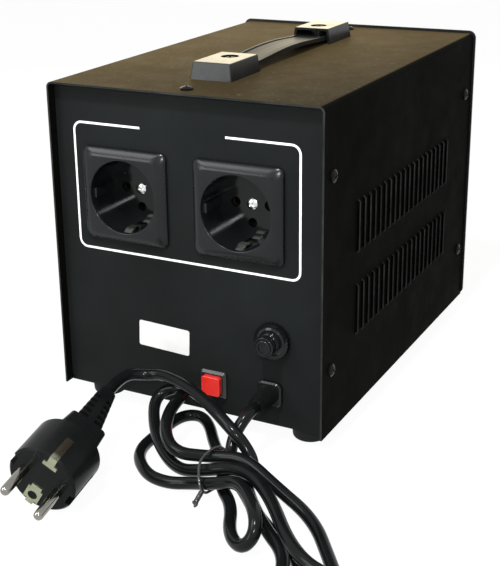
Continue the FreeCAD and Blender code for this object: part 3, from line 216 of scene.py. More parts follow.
def buildGrainGroup():
    # fine pebble of powder coat or of a moulded surface
    group, given, result = makeTree("surfaceGrain", (
        "Vector", "Grain Scale", "Wave Scale", "Wave Share"), ("Height", "Fleck"))
    grain = noiseNode(group, given["Vector"], given["Grain Scale"], grainDetail)
    wave = noiseNode(group, given["Vector"], given["Wave Scale"], grainDetail)
    height = addNode(group, "ShaderNodeMix", None, "Result", Factor=given["Wave Share"], A=grain, B=wave)
    feed(group, height, result["Height"])
    feed(group, rangeNode(group, grain, *fleckRamp), result["Fleck"])
    return group


def buildTopDustAndLightGroup(values):
    # what faces up above a level: an even film of dust and painted top light, thin in places, and dust specks
    # that lie on it
    group, given, result = makeTree("topDustAndLight", ("Vector", "Specks", "Film", "Level"), ("Specks", "Film"))
    place = given["Vector"]
    normal = addNode(group, "ShaderNodeNewGeometry", out="Normal")
    above = mathNode(group, "GREATER_THAN", splitAxes(group, place)["Z"], given["Level"])
    upward = rangeNode(group, splitAxes(group, normal)["Z"], *values["upward"])
    up = product(group, upward, above)
    speck = rangeNode(group, noiseNode(group, place, *values["speck"]), *values["speckRamp"])
    thin = rangeNode(group, noiseNode(group, place, *values["thin"]), *values["thinRamp"])
    # painted light: the film grows stronger towards the far left of the top
    paintedFalloff = rangeNode(group, dotNode(group, place, values["paintedFalloff"]), *values["paintedFalloffRamp"])
    feed(group, product(group, up, speck, given["Specks"]), result["Specks"])
    feed(group, product(group, up, thin, paintedFalloff, given["Film"]), result["Film"])
    return group


def buildEdgeHighlightGroup(values):
    # painted highlight along the cut edges of a sheet that face the rear, broken up by noise
    group, given, result = makeTree("paintedEdgeHighlight", ("Vector",), ("Mask",))
    normal = addNode(group, "ShaderNodeNewGeometry", out="True Normal")
    rearward = rangeNode(group, splitAxes(group, normal)["Y"], *values["rearward"])
    highlightBreakup = noiseNode(group, given["Vector"], *values["highlightBreakup"])
    uneven = rangeNode(group, highlightBreakup, *values["highlightBreakupRamp"])
    feed(group, product(group, rearward, uneven), result["Mask"])
    return group


handledSurface = buildCloudGroup(handling)
surfaceGrain = buildGrainGroup()
topDustAndLight = buildTopDustAndLightGroup(topDustAndLightLook)
paintedEdgeHighlight = buildEdgeHighlightGroup(edgeHighlightLook)

# the film's colour stands for dust and for painted warm light on the top
filmAndLightColour = (0.086, 0.062, 0.028)
speckShade = (0.42, 0.38, 0.3)
finishedNodes = []


def rgba(colour):
    # a single number is a grey
    return (colour, colour, colour, 1) if isinstance(colour, float) else (*colour, 1)


def makeFinish(name, low, high, rough, on=(), cloud=60, grain=1500, wave=180, waveShare=0.4, bump=0.1,
               depth=0.04, metallic=0.0, specular=0.5, coat=0.0, transmission=0.0, dustAndLight=None, stretch=None,
               fleck=None, edge=None, paintedShadeAlong=None):
    # low and high are shades, rough is two roughnesses, and on lists the frame's nodes that get the finish;
    # depth is in mm, and the dust setting is its specks, its film of dust and painted top light, and the
    # level that it starts from; edge is a painted highlight and the last setting a painted shade
    material = bpy.data.materials.new(name)
    material.use_nodes = True
    tree = material.node_tree
    whole = addNode(tree, "ShaderNodeTexCoord", out="Object")
    place = addNode(tree, "ShaderNodeMapping", Vector=whole, Scale=stretch) if stretch else whole
    surface = addNode(tree, "ShaderNodeGroup", {"node_tree": handledSurface}, None, Vector=place,
                      Cloud_Scale=cloud, Low_Colour=rgba(low), High_Colour=rgba(high), Low_Roughness=rough[0],
                      High_Roughness=rough[1])
    pebble = addNode(tree, "ShaderNodeGroup", {"node_tree": surfaceGrain}, None, Vector=place,
                     Grain_Scale=grain, Wave_Scale=wave, Wave_Share=waveShare)
    layers = []
    if fleck:
        layers.append((fleck, pebble["Fleck"]))
    # dust specks, and a film on the top that is partly dust and partly painted warm light
    if dustAndLight:
        settledAndLit = addNode(tree, "ShaderNodeGroup", {"node_tree": topDustAndLight}, None, Vector=whole,
                         Specks=dustAndLight[0], Film=dustAndLight[1], Level=dustAndLight[2])
        layers += [(filmAndLightColour, settledAndLit["Film"]), (speckShade, settledAndLit["Specks"])]
    # a painted highlight on the rear-facing cut edges
    if edge:
        layers.append((edge, addNode(tree, "ShaderNodeGroup", {"node_tree": paintedEdgeHighlight}, Vector=whole)))
    if paintedShadeAlong:
        # painted shade past a place along a direction, in metres
        along, start, end, shade = paintedShadeAlong
        layers.append((shade, rangeNode(tree, dotNode(tree, whole, along), start, end)))
    colour = surface["Colour"]
    for shade, mask in layers:
        colour = mixColour(tree, mask, colour, rgba(shade))
    relief = addNode(tree, "ShaderNodeBump", Strength=bump, Distance=depth * mm, Height=pebble["Height"])
    shader = tree.nodes["Principled BSDF"]
    for label, value in (("Base Color", colour), ("Roughness", surface["Roughness"]), ("Normal", relief),
                         ("Metallic", metallic), ("Specular IOR Level", specular), ("Coat Weight", coat),
                         ("Coat Roughness", 0.1), ("Transmission Weight", transmission)):
        feed(tree, value, shader.inputs[label])
    for node in on:
        nodes[node].data.materials.clear()
        nodes[node].data.materials.append(material)
        finishedNodes.append(node)
    return material


# finishes

# the top gets dust specks and a film that is partly dust and partly painted warm light; its rear-facing cut
# edges get a painted highlight
makeFinish("blackPowderCoat", (0.0026, 0.0026, 0.0022), (0.0048, 0.0048, 0.0042), (0.42, 0.58), ["cover"],
           cloud=9, wave=420, waveShare=0.5, bump=0.55, depth=0.12, dustAndLight=(0.16, 0.85, 0.178),
           edge=(0.028, 0.03, 0.029), specular=0.003)
makeFinish("panelPowderCoat", (0.006, 0.007, 0.0069), (0.0106, 0.0122, 0.0121), (0.45, 0.6), ["rear_panel"],
           cloud=12, wave=420, waveShare=0.5, bump=0.5, depth=0.12, specular=0.035)
makeFinish("trayPowderCoat", 0.004, 0.008, (0.5, 0.65), ["chassis_tray", "chassis_rivets"], cloud=12,
           wave=420, waveShare=0.5, bump=0.4, depth=0.1, specular=0.1)
socketGloss = makeFinish("socketMoulding", (0.003, 0.0037, 0.0039), (0.0058, 0.0068, 0.0072), (0.09, 0.15),
                         ["left_socket", "right_socket", "breaker_body", "breaker_nut"], cloud=25, grain=1400,
                         specular=0.24)
rimSatin = makeFinish("socketRimMoulding", (0.0032, 0.004, 0.0044), (0.006, 0.0072, 0.0078), (0.22, 0.31),
                      cloud=25, grain=1400, bump=0.12, specular=0.26)
makeFinish("glossBlackMoulding", (0.004, 0.0046, 0.0046), (0.007, 0.008, 0.008), (0.15, 0.24),
           ["lead_gland", "breaker_button", "rear_handle_cap", "front_handle_cap", "switch_rocker"], cloud=25,
           grain=1400, specular=0.24, dustAndLight=(0.06, 0.0, 0.0))
makeFinish("buttonFrame", (0.01, 0.011, 0.0105), (0.018, 0.02, 0.019), (0.22, 0.32), ["delay_button_body"],
           cloud=40, grain=1400, specular=0.42)
makeFinish("strapMoulding", (0.005, 0.0055, 0.0052), (0.009, 0.0095, 0.009), (0.38, 0.5), ["handle_strap"],
           grain=300, wave=130, bump=0.9, depth=0.6, stretch=(1, 0.02, 1), specular=0.12)
makeFinish("satinBlackMoulding", (0.0042, 0.0045, 0.0045), (0.0085, 0.009, 0.009), (0.3, 0.42),
           ["front_bezel", "meter_housing", "meter_movement", "switch_body", "capacitors", "left_socket_back",
            "right_socket_back"], cloud=30, grain=1800, bump=0.3, depth=0.08, specular=0.2)
makeFinish("plugMoulding", (0.0036, 0.0043, 0.0043), (0.0066, 0.0076, 0.0076), (0.24, 0.34), ["plug_body"],
           cloud=45, grain=1300, wave=300, bump=0.3, depth=0.08, specular=0.07)
cordBlack = makeFinish("cordSheath", (0.0026, 0.0032, 0.0033), (0.0052, 0.0062, 0.0064), (0.13, 0.2),
                       cloud=40, grain=1200, wave=260, bump=0.14, depth=0.05, specular=0.13)
footRubber = makeFinish("footRubber", (0.006, 0.0065, 0.0065), (0.012, 0.013, 0.013), (0.5, 0.65), bump=0.4,
                        depth=0.1, specular=0.12)
makeFinish("redPressCap", (0.54, 0.018, 0.013), (0.64, 0.026, 0.019), (0.22, 0.32), ["delay_button_cap"],
           coat=0.1)
zincPlate = makeFinish("zincPlate", (0.42, 0.42, 0.4), (0.6, 0.6, 0.57), (0.3, 0.45),
                       ["front_panel", "transformer_bracket", "transformer_bolts", "board_screws"], cloud=45,
                       grain=800, bump=0.15, depth=0.05, metallic=1.0)
brightSteel = makeFinish("brightSteel", (0.62, 0.62, 0.6), (0.75, 0.75, 0.73), (0.14, 0.26), cloud=80,
                         grain=900, metallic=1.0)
darkScrew = makeFinish("blackenedScrew", 0.003, (0.007, 0.007, 0.0065), (0.1, 0.18), cloud=160, bump=0.2,
                       depth=0.05, specular=0.1)
pinNickel = makeFinish("pinNickel", (0.21, 0.205, 0.185), (0.31, 0.3, 0.275), (0.1, 0.2), cloud=90,
                       grain=900, depth=0.03, metallic=1.0)
# the slanted strip past the tab gets a painted shade
makeFinish("earthPlate", (0.28, 0.295, 0.2), (0.42, 0.435, 0.31), (0.24, 0.38), ["plug_earth_contacts"],
           cloud=70, grain=700, bump=0.2, metallic=1.0, stretch=(1, 1, 8),
           paintedShadeAlong=(plugForward, 0.2062, 0.204, (0.085, 0.072, 0.054)))
makeFinish("springSteel", (0.5, 0.49, 0.46), (0.66, 0.65, 0.61), (0.2, 0.34),
           ["left_earth_clips", "right_earth_clips"], grain=600, bump=0.2, metallic=1.0, stretch=(1, 1, 12))
# kept far darker than brass, as painted shade in the sockets' pin holes
makeFinish("brassSleeve", (0.024, 0.018, 0.01), (0.045, 0.034, 0.018), (0.4, 0.55),
           ["left_socket_contacts", "right_socket_contacts", "board_posts"], cloud=70, grain=900, bump=0.15,
           metallic=1.0)
makeFinish("varnishedLaminations", (0.1, 0.105, 0.11), (0.17, 0.175, 0.18), (0.35, 0.55),
           ["transformer_core"], cloud=25, grain=40, wave=1600, waveShare=0.9, bump=0.7, depth=0.2,
           metallic=0.6, stretch=(1, 40, 1))
makeFinish("windingTape", (0.52, 0.36, 0.06), (0.68, 0.5, 0.12), (0.35, 0.5), ["transformer_winding"],
           cloud=20, grain=600, wave=900, waveShare=0.6, bump=0.3, depth=0.1, stretch=(1, 1, 6))
makeFinish("boardLacquer", (0.01, 0.075, 0.025), (0.016, 0.11, 0.04), (0.25, 0.4), ["control_board"],
           grain=500, bump=0.25, depth=0.06, fleck=(0.02, 0.16, 0.06))
makeFinish("relayCase", (0.02, 0.045, 0.14), (0.03, 0.06, 0.19), (0.3, 0.42), ["relays"], cloud=50, bump=0.2,
           depth=0.05)
makeFinish("terminalMoulding", 0.1, 0.15, (0.45, 0.6), ["terminal_block"], cloud=50, bump=0.3, depth=0.06)
makeFinish("dialCard", (0.74, 0.73, 0.68), (0.82, 0.81, 0.77), (0.6, 0.75), ["meter_dial"], cloud=40,
           grain=1800, depth=0.03)
dialInk = makeFinish("dialInk", (0.012, 0.012, 0.013), 0.03, (0.5, 0.65), cloud=120, grain=2000, depth=0.02)
printWhite = makeFinish("printedWhite", (0.74, 0.75, 0.76), (0.86, 0.87, 0.88), (0.5, 0.65), grain=2200,
                        bump=0.2, depth=0.03)
stickerWhite = makeFinish("blankSticker", (0.54, 0.54, 0.53), (0.64, 0.64, 0.63), (0.35, 0.5), cloud=30,
                          depth=0.03)
makeFinish("needlePaint", 0.012, 0.03, (0.4, 0.55), ["meter_needle"], cloud=90, depth=0.03)
tieBlack = makeFinish("tieCoating", 0.008, 0.016, (0.16, 0.26), cloud=160, grain=900, bump=0.2, coat=0.5)
makeFinish("lampLens", (0.62, 0.14, 0.02), (0.75, 0.22, 0.04), (0.12, 0.2), ["indicator_lamps"], cloud=90,
           grain=900, depth=0.03, coat=0.4)
makeFinish("meterWindow", (0.9, 0.92, 0.92), (0.96, 0.97, 0.97), (0.03, 0.08), ["meter_lens"], cloud=20,
           grain=200, bump=0.02, depth=0.02, transmission=1.0)
print("finishes on", len(finishedNodes), "frame nodes")


# supply lead: one spline from the gland to the plug's tail

lead = {
    "diameter": 6.2,
    "length": 1140,
    "glandTip": (47.3, -12.0, 28.2),
    "straight": 8.5,     # how far it leaves the gland in line
    "plugEnd": (-26.85, -28.55, 31.04),
    "plugTail": (-25.40, -36.75, 29.31),
    "route": [
        (43.0, -28.0, 18.2), (45.0, -35.0, 11.2), (47.0, -45.0, 8.7), (49.5, -54.0, 5.7),
        (61.0, -64.0, 3.7), (70.0, -84.5, 3.2), (80.5, -93.0, 3.2), (87.0, -92.0, 10.7),
        (84.0, -84.5, 17.7), (64.5, -62.0, 16.7), (49.0, -61.5, 10.7), (36.5, -58.5, 6.2),
        (24.0, -60.0, 3.7), (9.5, -57.0, 3.2), (-6.0, -40.5, 3.2), (-7.0, -18.0, 3.2),
        (-5.5, 6.0, 3.7), (8.5, 8.0, 4.2), (30.0, -22.5, 3.2), (56.5, -46.0, 3.2),
        (76.5, -67.5, 3.2), (111.5, -92.0, 3.2), (115.5, -119.5, 3.2), (130.5, -119.5, 6.2),
        (132.0, -104.5, 9.7), (109.5, -100.5, 12.7), (79.5, -64.0, 17.2), (60.0, -53.0, 18.2),
        (39.0, -53.0, 10.7), (22.0, -49.5, 5.2), (-1.5, -30.0, 7.7), (-16.5, -6.0, 19.2),
        (4.5, -2.0, 26.6), (5.0, -31.5, 21.3), (20.0, -50.5, 14.7), (40.0, -45.5, 14.7),
        (58.0, -45.0, 18.7), (78.5, -54.0, 13.2), (101.5, -62.0, 6.7), (119.0, -84.0, 3.2),
        (146.5, -122.5, 3.2), (109.0, -130.0, 4.2), (105.5, -95.5, 6.2), (84.0, -79.5, 9.2),
        (62.5, -54.5, 10.7), (59.5, -37.0, 9.2), (53.0, -32.5, 16.2), (44.5, -33.5, 25.7),
        (17.5, -18.0, 32.2), (-8.5, -7.0, 32.2), (-19.0, -8.0, 30.0), (-26.0, -14.5, 32.0),
    ],
}


def makeLead(values):
    x, y, z = values["glandTip"]
    points = [(x, y, z), (x, y - values["straight"], z)] + values["route"]
    points += [values["plugEnd"], values["plugTail"]]
    curve = bpy.data.curves.new("supplyCord", "CURVE")
    curve.dimensions = "3D"
    curve.resolution_u = 10
    spline = curve.splines.new("NURBS")
    spline.points.add(len(points) - 1)
    for slot, point in zip(spline.points, points):
        slot.co = (*at(*point), 1)
    spline.order_u = 3
    spline.use_endpoint_u = True
    cord = addObject("supplyCord", curve)
    line = bpy.data.meshes.new_from_object(cord)
    middle = [vertex.co.copy() for vertex in line.vertices]
    bpy.data.meshes.remove(line)
    curve.bevel_depth = values["diameter"] / 2 * mm
    curve.bevel_resolution = 6
    curve.use_fill_caps = True
    curve.materials.append(cordBlack)
    return cord, middle


supplyCord, cordMiddle = makeLead(lead)
print("lead laid,", len(cordMiddle), "points along its middle")


# meshes of the pieces

def addPiece(name, mesh, finish, body="case"):
    piece = addObject(name, mesh)
    mesh.materials.clear()
    mesh.materials.append(finish)
    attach(piece, body)
    return piece


def meshOf(source):
    # the evaluated object as a plain mesh, and the object it came from is deleted
    bpy.context.view_layer.update()
    evaluated = source.evaluated_get(bpy.context.evaluated_depsgraph_get())
    mesh = bpy.data.meshes.new_from_object(evaluated)
    mesh.transform(source.matrix_world)
    bpy.data.objects.remove(source)
    return mesh


def smoothByAngle(mesh, degrees):
    sharp = math.radians(degrees)
    work = bmesh.new()
    work.from_mesh(mesh)
    for face in work.faces:
        face.smooth = True
    for edge in work.edges:
        edge.smooth = len(edge.link_faces) == 2 and edge.calc_face_angle(0) < sharp
    work.to_mesh(mesh)
    work.free()


def closedMesh(name, work, degrees=None):
    # a mesh of the finished work, its faces outwards and its edges under an angle smooth
    bmesh.ops.recalc_face_normals(work, faces=work.faces)
    mesh = bpy.data.meshes.new(name)
    work.to_mesh(mesh)
    work.free()
    if degrees:
        smoothByAngle(mesh, degrees)
    return mesh


def bridge(work, rings, closed=False):
    # faces from each ring of corners to the next, and from the last to the first where it is closed;
    # a ring of one corner is a pole
    count = max(len(ring) for ring in rings)
    for low, high in zip(rings, rings[1:] + rings[:1] if closed else rings[1:]):
        for step in range(count):
            after = (step + 1) % count
            corners = [low[step % len(low)], low[after % len(low)],
                       high[after % len(high)], high[step % len(high)]]
            corners = [corner for place, corner in enumerate(corners) if corner not in corners[:place]]
            if len(corners) > 2:
                work.faces.new(corners)


def addStrip(work, path, width, levels, place, closed=False):
    # a flat line of even width along points of a face; place gives the spot of a point at a level
    rings = []
    for number, point in enumerate(path):
        before = path[number - 1] if closed or number else point
        after = path[(number + 1) % len(path)] if closed or number < len(path) - 1 else point
        along = (Vector(after) - Vector(before)).normalized()
        off = Vector((-along.y, along.x)) * width / 2
        sides = (Vector(point) + off, Vector(point) - off)
        corners = [(sides[0], levels[0]), (sides[0], levels[1]), (sides[1], levels[1]), (sides[1], levels[0])]
        rings.append([work.verts.new(place(spot, level)) for spot, level in corners])
    bridge(work, rings, closed)
    if not closed:
        work.faces.new(rings[0])
        work.faces.new(rings[-1])


def stripMesh(name, path, width, y, lift):
    # a strip along x, z points of an upright face at y, from which it stands out by lift
    work = bmesh.new()
    addStrip(work, path, width, (y, y + lift), lambda spot, level: at(spot.x, level, spot.y))
    return closedMesh(name, work)


def plateMesh(name, outline, y, lift):
    work = bmesh.new()
    rings = [[work.verts.new(at(x, level, z)) for x, z in outline] for level in (y, y + lift)]
    for ring in rings:
        work.faces.new(ring)
    bridge(work, rings)
    return closedMesh(name, work)


def wireMesh(name, strands, thick):
    # round wires along lists of points, of which the first is a closed loop
    curve = bpy.data.curves.new(name, "CURVE")
    curve.dimensions = "3D"
    curve.bevel_depth = thick
    curve.bevel_resolution = 3
    curve.use_fill_caps = True
    for number, points in enumerate(strands):
        spline = curve.splines.new("POLY")
        spline.points.add(len(points) - 1)
        for slot, point in zip(spline.points, points):
            slot.co = (*point, 1)
        spline.use_cyclic_u = number == 0
    return meshOf(addObject(name, curve))


# wire tie round the strands of the hank

tie = {
    "middle": (46.0, -52.8, 12.0),
    "axis": (1.0, -0.11, 0.24),
    "reach": 12.5,                    # how far from its middle a strand still counts
    "lowest": (0.02, -0.92, -0.39),   # towards the twisted end
    "slack": 1.4, "bow": 5.0,         # how far its upper side stands off, and bows along the strands
    "wire": 0.7, "gap": 0.45,
    "twistTurns": 3.5, "twistLength": 7.0, "twistRadius": 0.62,
    "opening": 6,                     # the twist's length over the part of it that opens to the full radius
    "endLength": 3.2, "endBend": (0.9, 0.5),     # along the strands and down
    "loopSteps": 96, "twistSteps": 40, "endSteps": 6,
}


def strandCrossings(values, middleLine):
    centre = at(*values["middle"])
    axis = Vector(values["axis"]).normalized()
    found = []
    for before, after in zip(middleLine, middleLine[1:]):
        low = (before - centre).dot(axis)
        high = (after - centre).dot(axis)
        if low * high < 0:
            point = before.lerp(after, low / (low - high))
            if (point - centre).length < values["reach"] * mm:
                found.append(point)
    return centre, axis, found


def tieLoop(values, centre, axis, strands, down, across):
    # even steps round the strands, taut below and slack above
    hold = (lead["diameter"] / 2 + values["gap"] + values["wire"]) * mm
    steps = values["loopSteps"]
    taut = []
    for step in range(steps + 1):
        turn = math.tau * step / steps
        way = down * math.cos(turn) + across * math.sin(turn)
        outer = max(strands, key=lambda point: (point - centre).dot(way))
        taut.append((outer + way * hold, way))
    reached = [0]
    for (before, _), (after, _) in zip(taut, taut[1:]):
        reached.append(reached[-1] + (after - before).length)
    loop = []
    for step in range(steps):
        goal = reached[-1] * step / steps
        number = max(index for index, length in enumerate(reached[:-1]) if length <= goal)
        share = (goal - reached[number]) / max(reached[number + 1] - reached[number], 1e-9)
        point, way = (before.lerp(after, share) for before, after in zip(taut[number], taut[number + 1]))
        loose = math.sin(math.tau * step / steps) ** 2 if step > steps / 2 else 0
        loop.append(point + way * values["slack"] * loose * mm - axis * values["bow"] * loose * mm)
    return loop


def twistedEnd(values, root, side, axis, down, across):
    points = []
    for step in range(values["twistSteps"] + 1):
        share = step / values["twistSteps"]
        turn = side + math.tau * values["twistTurns"] * share
        swing = values["twistRadius"] * mm * min(1, values["opening"] * share)
        points.append(root + down * (values["twistLength"] * mm * share)
                      + (axis * math.cos(turn) + across * math.sin(turn)) * swing)
    tip = (points[-1] - points[-2]).normalized()
    bend = axis * math.cos(side) * values["endBend"][0] + down * values["endBend"][1]
    steps = values["endSteps"]
    for step in range(1, steps + 1):
        way = tip * (1 - step / steps) + bend * step / steps
        points.append(points[-1] + way * values["endLength"] * mm / steps)
    return points


def makeTie(values, middleLine):
    centre, axis, strands = strandCrossings(values, middleLine)
    print("tie holds", len(strands), "strands")
    down = Vector(values["lowest"])
    down = (down - axis * down.dot(axis)).normalized()
    across = axis.cross(down)
    loop = tieLoop(values, centre, axis, strands, down, across)
    ends = [twistedEnd(values, loop[0], side, axis, down, across) for side in (0, math.pi)]
    return wireMesh("hankTie", [loop] + ends, values["wire"] * mm)


hankTie = addPiece("hankTie", makeTie(tie, cordMiddle), tieBlack)
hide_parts("hank_tie")


# plug pins, turned with rounded tips

pins = {
    "place": (-17.2, -104.3, 17.5),
    "side": (0.8309, 0.1501, -0.5358),
    "spread": 9.4,
    "profile": [(0, 0), (2.4, 0), (2.4, 16.6), (2.3, 17.5), (1.95, 18.3), (1.3, 18.8), (0.6, 18.98),
                (0, 19.0)],
    "segments": 36,
}


def makePins(name, values):
    # the profile's points are (radius, height), turned about each pin's middle
    work = bmesh.new()
    turned = Vector(plugForward).to_track_quat("Z", "Y").to_matrix()
    for sign in (-1, 1):
        origin = at(*values["place"]) + Vector(values["side"]) * values["spread"] * sign * mm
        rings = []
        for radius, height in values["profile"]:
            steps = values["segments"] if radius else 1
            turns = [math.tau * step / steps for step in range(steps)]
            spots = [Vector((radius * math.cos(turn), radius * math.sin(turn), height)) for turn in turns]
            rings.append([work.verts.new(origin + turned @ spot * mm) for spot in spots])
        bridge(work, rings)
    return closedMesh(name, work, 35)


plugPins = addPiece("plugPins", makePins("plugPins", pins), pinNickel)
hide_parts("plug_pins")

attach(supplyCord, "case")
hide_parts("supply_lead", "lead_hank", "plug_lead")
print("tie and plug pins made")


# pieces made by Geometry Nodes

def geometryTree(name, sizes):
    return makeTree(name, ["Geometry", *sizes, "Material"], ["Geometry"], "GeometryNodeTree")


def raised(tree, shape, height, turn=0.0):
    return addNode(tree, "GeometryNodeTransform", Geometry=shape, Translation=combined(tree, z=height),
                   Rotation=(0, 0, turn))


def endTree(tree, given, result, shape):
    # a copy of the shape on each point, turned as the point says, made real and painted
    turn = addNode(tree, "GeometryNodeInputNamedAttribute", {"data_type": "FLOAT_VECTOR"}, "Attribute",
                   Name="turn")
    copies = addNode(tree, "GeometryNodeInstanceOnPoints", Points=given["Geometry"], Instance=shape,
                     Rotation=addNode(tree, "FunctionNodeEulerToRotation", Euler=turn))
    real = addNode(tree, "GeometryNodeRealizeInstances", Geometry=copies)
    painted = addNode(tree, "GeometryNodeSetMaterial", Geometry=real, Material=given["Material"])
    feed(tree, painted, result["Geometry"])
    return tree


def addCopies(name, tree, places, sizes, finish, degrees):
    # places are (point, direction, spin), and sizes are in mm by the tree's own labels
    mesh = bpy.data.meshes.new(name)
    mesh.from_pydata([tuple(at(*point)) for point, direction, spin in places], [], [])
    turns = mesh.attributes.new("turn", "FLOAT_VECTOR", "POINT")
    for item, (point, direction, spin) in zip(turns.data, places):
        turn = Vector(direction).to_track_quat("Z", "Y") @ Euler((0, 0, spin)).to_quaternion()
        item.vector = tuple(turn.to_euler())
    holder = addObject(name, mesh)
    modifier = holder.modifiers.new("nodes", "NODES")
    modifier.node_group = tree
    values = {label: size * mm for label, size in sizes.items()}
    values["Material"] = finish
    for item in tree.interface.items_tree:
        if item.in_out == "INPUT" and item.name in values:
            modifier[item.identifier] = values[item.name]
    made = meshOf(holder)
    smoothByAngle(made, degrees)
    return addPiece(name, made, finish)


# screws with cross recesses

screwSizes = ("Head Radius", "Head Height", "Rim Height", "Shank Radius", "Shank Length", "Cross Length",
              "Cross Width", "Cross Depth")
# side, place from the rear edge, and height over the feet
sideScrews = [(side, y, z) for side in (-1, 1) for y in (10.5, 213.3) for z in (34.8, 135.0)]
screwSets = {
    "coverScrews": {
        "finish": darkScrew, "nodes": ("left_side_screws", "right_side_screws", "top_screws"),
        "sizes": (3.3, 1.9, 0.8, 1.5, 8.0, 3.6, 0.75, 1.1),
        "places": [((side * 78.0, y, baseLevel + z), (side, 0, 0), 0.4 + 0.9 * number)
                   for number, (side, y, z) in enumerate(sideScrews)]
                  + [((0, 10.0, 180.2), (0, 0, 1), 0.5), ((0, 216.0, 180.2), (0, 0, 1), 1.1)],
    },
    "capScrews": {
        "finish": darkScrew, "nodes": ("handle_screws",),
        "sizes": (4.3, 1.8, 0.7, 1.5, 10.0, 4.6, 0.9, 1.2),
        "places": [((0, y, 187.2), (0, 0, 1), spin) for y, spin in ((55.5, 0.35), (169.0, 1.2))],
    },
    "socketScrews": {
        "finish": brightSteel, "nodes": ("socket_screws",),
        "sizes": (3.0, 1.4, 0.6, 1.5, 8.0, 3.4, 0.7, 0.9),
        "places": [((x, 20.3, z), (0, -1, 0), spin)
                   for (x, z), spin in zip(socketMiddles.values(), (0.2, 0.7))],
    },
    "footScrews": {
        "finish": zincPlate, "nodes": ("foot_screws",),
        "sizes": (4.0, 2.0, 0.8, 2.0, 8.7, 4.4, 0.9, 1.3),
        "places": [((x, y, 4.5), (0, 0, -1), 0.3 * math.copysign(1, x) + y) for x, y in footPlaces],
    },
}


def buildScrewTree():
    # domed head with a cross recess, its shank below the seat
    tree, given, result = geometryTree("crossScrews", screwSizes)
    flatness = 2.4     # at 2 the dome is a parabola, and above it its middle is flatter
    disc = addNode(tree, "GeometryNodeMeshCylinder", {"fill_type": "TRIANGLE_FAN"}, Vertices=40,
                   Fill_Segments=7, Radius=given["Head Radius"], Depth=given["Rim Height"])
    x, y, z = splitAxes(tree, addNode(tree, "GeometryNodeInputPosition"))
    flat = combined(tree, x, y)
    reach = addNode(tree, "ShaderNodeVectorMath", {"operation": "LENGTH"}, "Value", Vector=flat)
    share = mathNode(tree, "DIVIDE", reach, given["Head Radius"])
    fall = mathNode(tree, "SUBTRACT", 1.0, mathNode(tree, "POWER", share, flatness))
    dome = mathNode(tree, "SUBTRACT", given["Head Height"], given["Rim Height"])
    lift = product(tree, fall, dome, mathNode(tree, "GREATER_THAN", z, 0.0))
    domed = addNode(tree, "GeometryNodeSetPosition", Geometry=disc, Offset=combined(tree, z=lift))
    head = raised(tree, domed, product(tree, given["Rim Height"], 0.5))
    twice = product(tree, given["Cross Depth"], 2.0)
    size = combined(tree, given["Cross Length"], given["Cross Width"], twice)
    bar = addNode(tree, "GeometryNodeMeshCube", Size=size)
    bars = [raised(tree, bar, given["Head Height"], turn) for turn in (0.0, math.pi / 2)]
    cut = addNode(tree, "GeometryNodeMeshBoolean", {"operation": "DIFFERENCE"}, Mesh_1=head, Mesh_2=bars)
    shank = addNode(tree, "GeometryNodeMeshCylinder", Vertices=20, Radius=given["Shank Radius"],
                    Depth=given["Shank Length"])
    lowered = raised(tree, shank, product(tree, given["Shank Length"], -0.5))
    return endTree(tree, given, result, addNode(tree, "GeometryNodeJoinGeometry", Geometry=[lowered, cut]))


crossScrews = buildScrewTree()
for name, values in screwSets.items():
    screws = addCopies(name, crossScrews, values["places"], dict(zip(screwSizes, values["sizes"])),
                       values["finish"], 30)
    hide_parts(*values["nodes"])
print("screws made:", ", ".join(screwSets))


# soft pillowed rims of the sockets, over their flanges

rims = {
    "half": 25.1, "face": 20.3,          # half widths at the panel and at the face
    "corner": 3.6, "faceCorner": 5.0,
    "shoulder": 1.0, "proud": 4.15,      # heights above the panel
    "fullness": 1.5,                     # 1 is a plain slope, 2 a quarter round
    "bore": 19.4, "lip": 0.5, "into": 1.55,
    "rows": 14, "lipRows": 4, "around": 288,
}


def squareReach(half, corner, turn):
    # from a rounded square's middle to its outline, or a circle's where the corner is its half width
    short, long = sorted((abs(math.cos(turn)), abs(math.sin(turn))))
    inner = half - corner
    if half * short / long <= inner:
        return half / long
    along = inner * (long + short)
    return along + math.sqrt(along * along - 2 * inner * inner + corner * corner)


def rimRings(values):
    # (half width, corner, height above the panel), from the panel over the shoulder into the recess
    face, corner, low = values["face"], values["corner"], values["shoulder"]
    bore, lip, top = values["bore"], values["lip"], values["proud"]
    rings = [(values["half"], corner, 0)]
    for row in range(values["rows"] + 1):
        turn = math.pi / 2 * row / values["rows"]
        out, up = (part ** (2 / values["fullness"]) for part in (math.cos(turn), math.sin(turn)))
        rings.append((face + (values["half"] - face) * out, corner + (values["faceCorner"] - corner) * up,
                      low + (top - low) * up))
    for row in range(values["lipRows"] + 1):
        turn = math.pi / 2 * row / values["lipRows"]
        radius = bore + lip * (1 - math.sin(turn))
        rings.append((radius, radius, top - lip * (1 - math.cos(turn))))
    for radius, height in ((bore, top - values["into"]), (bore + lip, top - values["into"]), (bore + lip, 0)):
        rings.append((radius, radius, height))
    return rings


def makeRim(name, x, z, values):
    work = bmesh.new()
    turns = [math.tau * step / values["around"] for step in range(values["around"])]
    rings = []
    for half, corner, height in rimRings(values):
        reaches = [(squareReach(half, corner, turn), math.cos(turn), math.sin(turn)) for turn in turns]
        rings.append([work.verts.new(at(x + reach * across, panelFace - height, z + reach * up))
                      for reach, across, up in reaches])
    bridge(work, rings, closed=True)
    return closedMesh(name, work, 40)


for side, (x, z) in socketMiddles.items():
    name = side + "SocketRim"
    addPiece(name, makeRim(name, x, z, rims), rimSatin)
print("socket rims made")


# feet, a round-edged rubber ring each with a floor for its screw

feet = {"Outer Radius": 9.85, "Recess Radius": 5.0, "Height": baseLevel, "Edge Radius": 1.7, "Taper": 0.9,
        "Recess Depth": 4.5, "Hole Radius": 2.05}


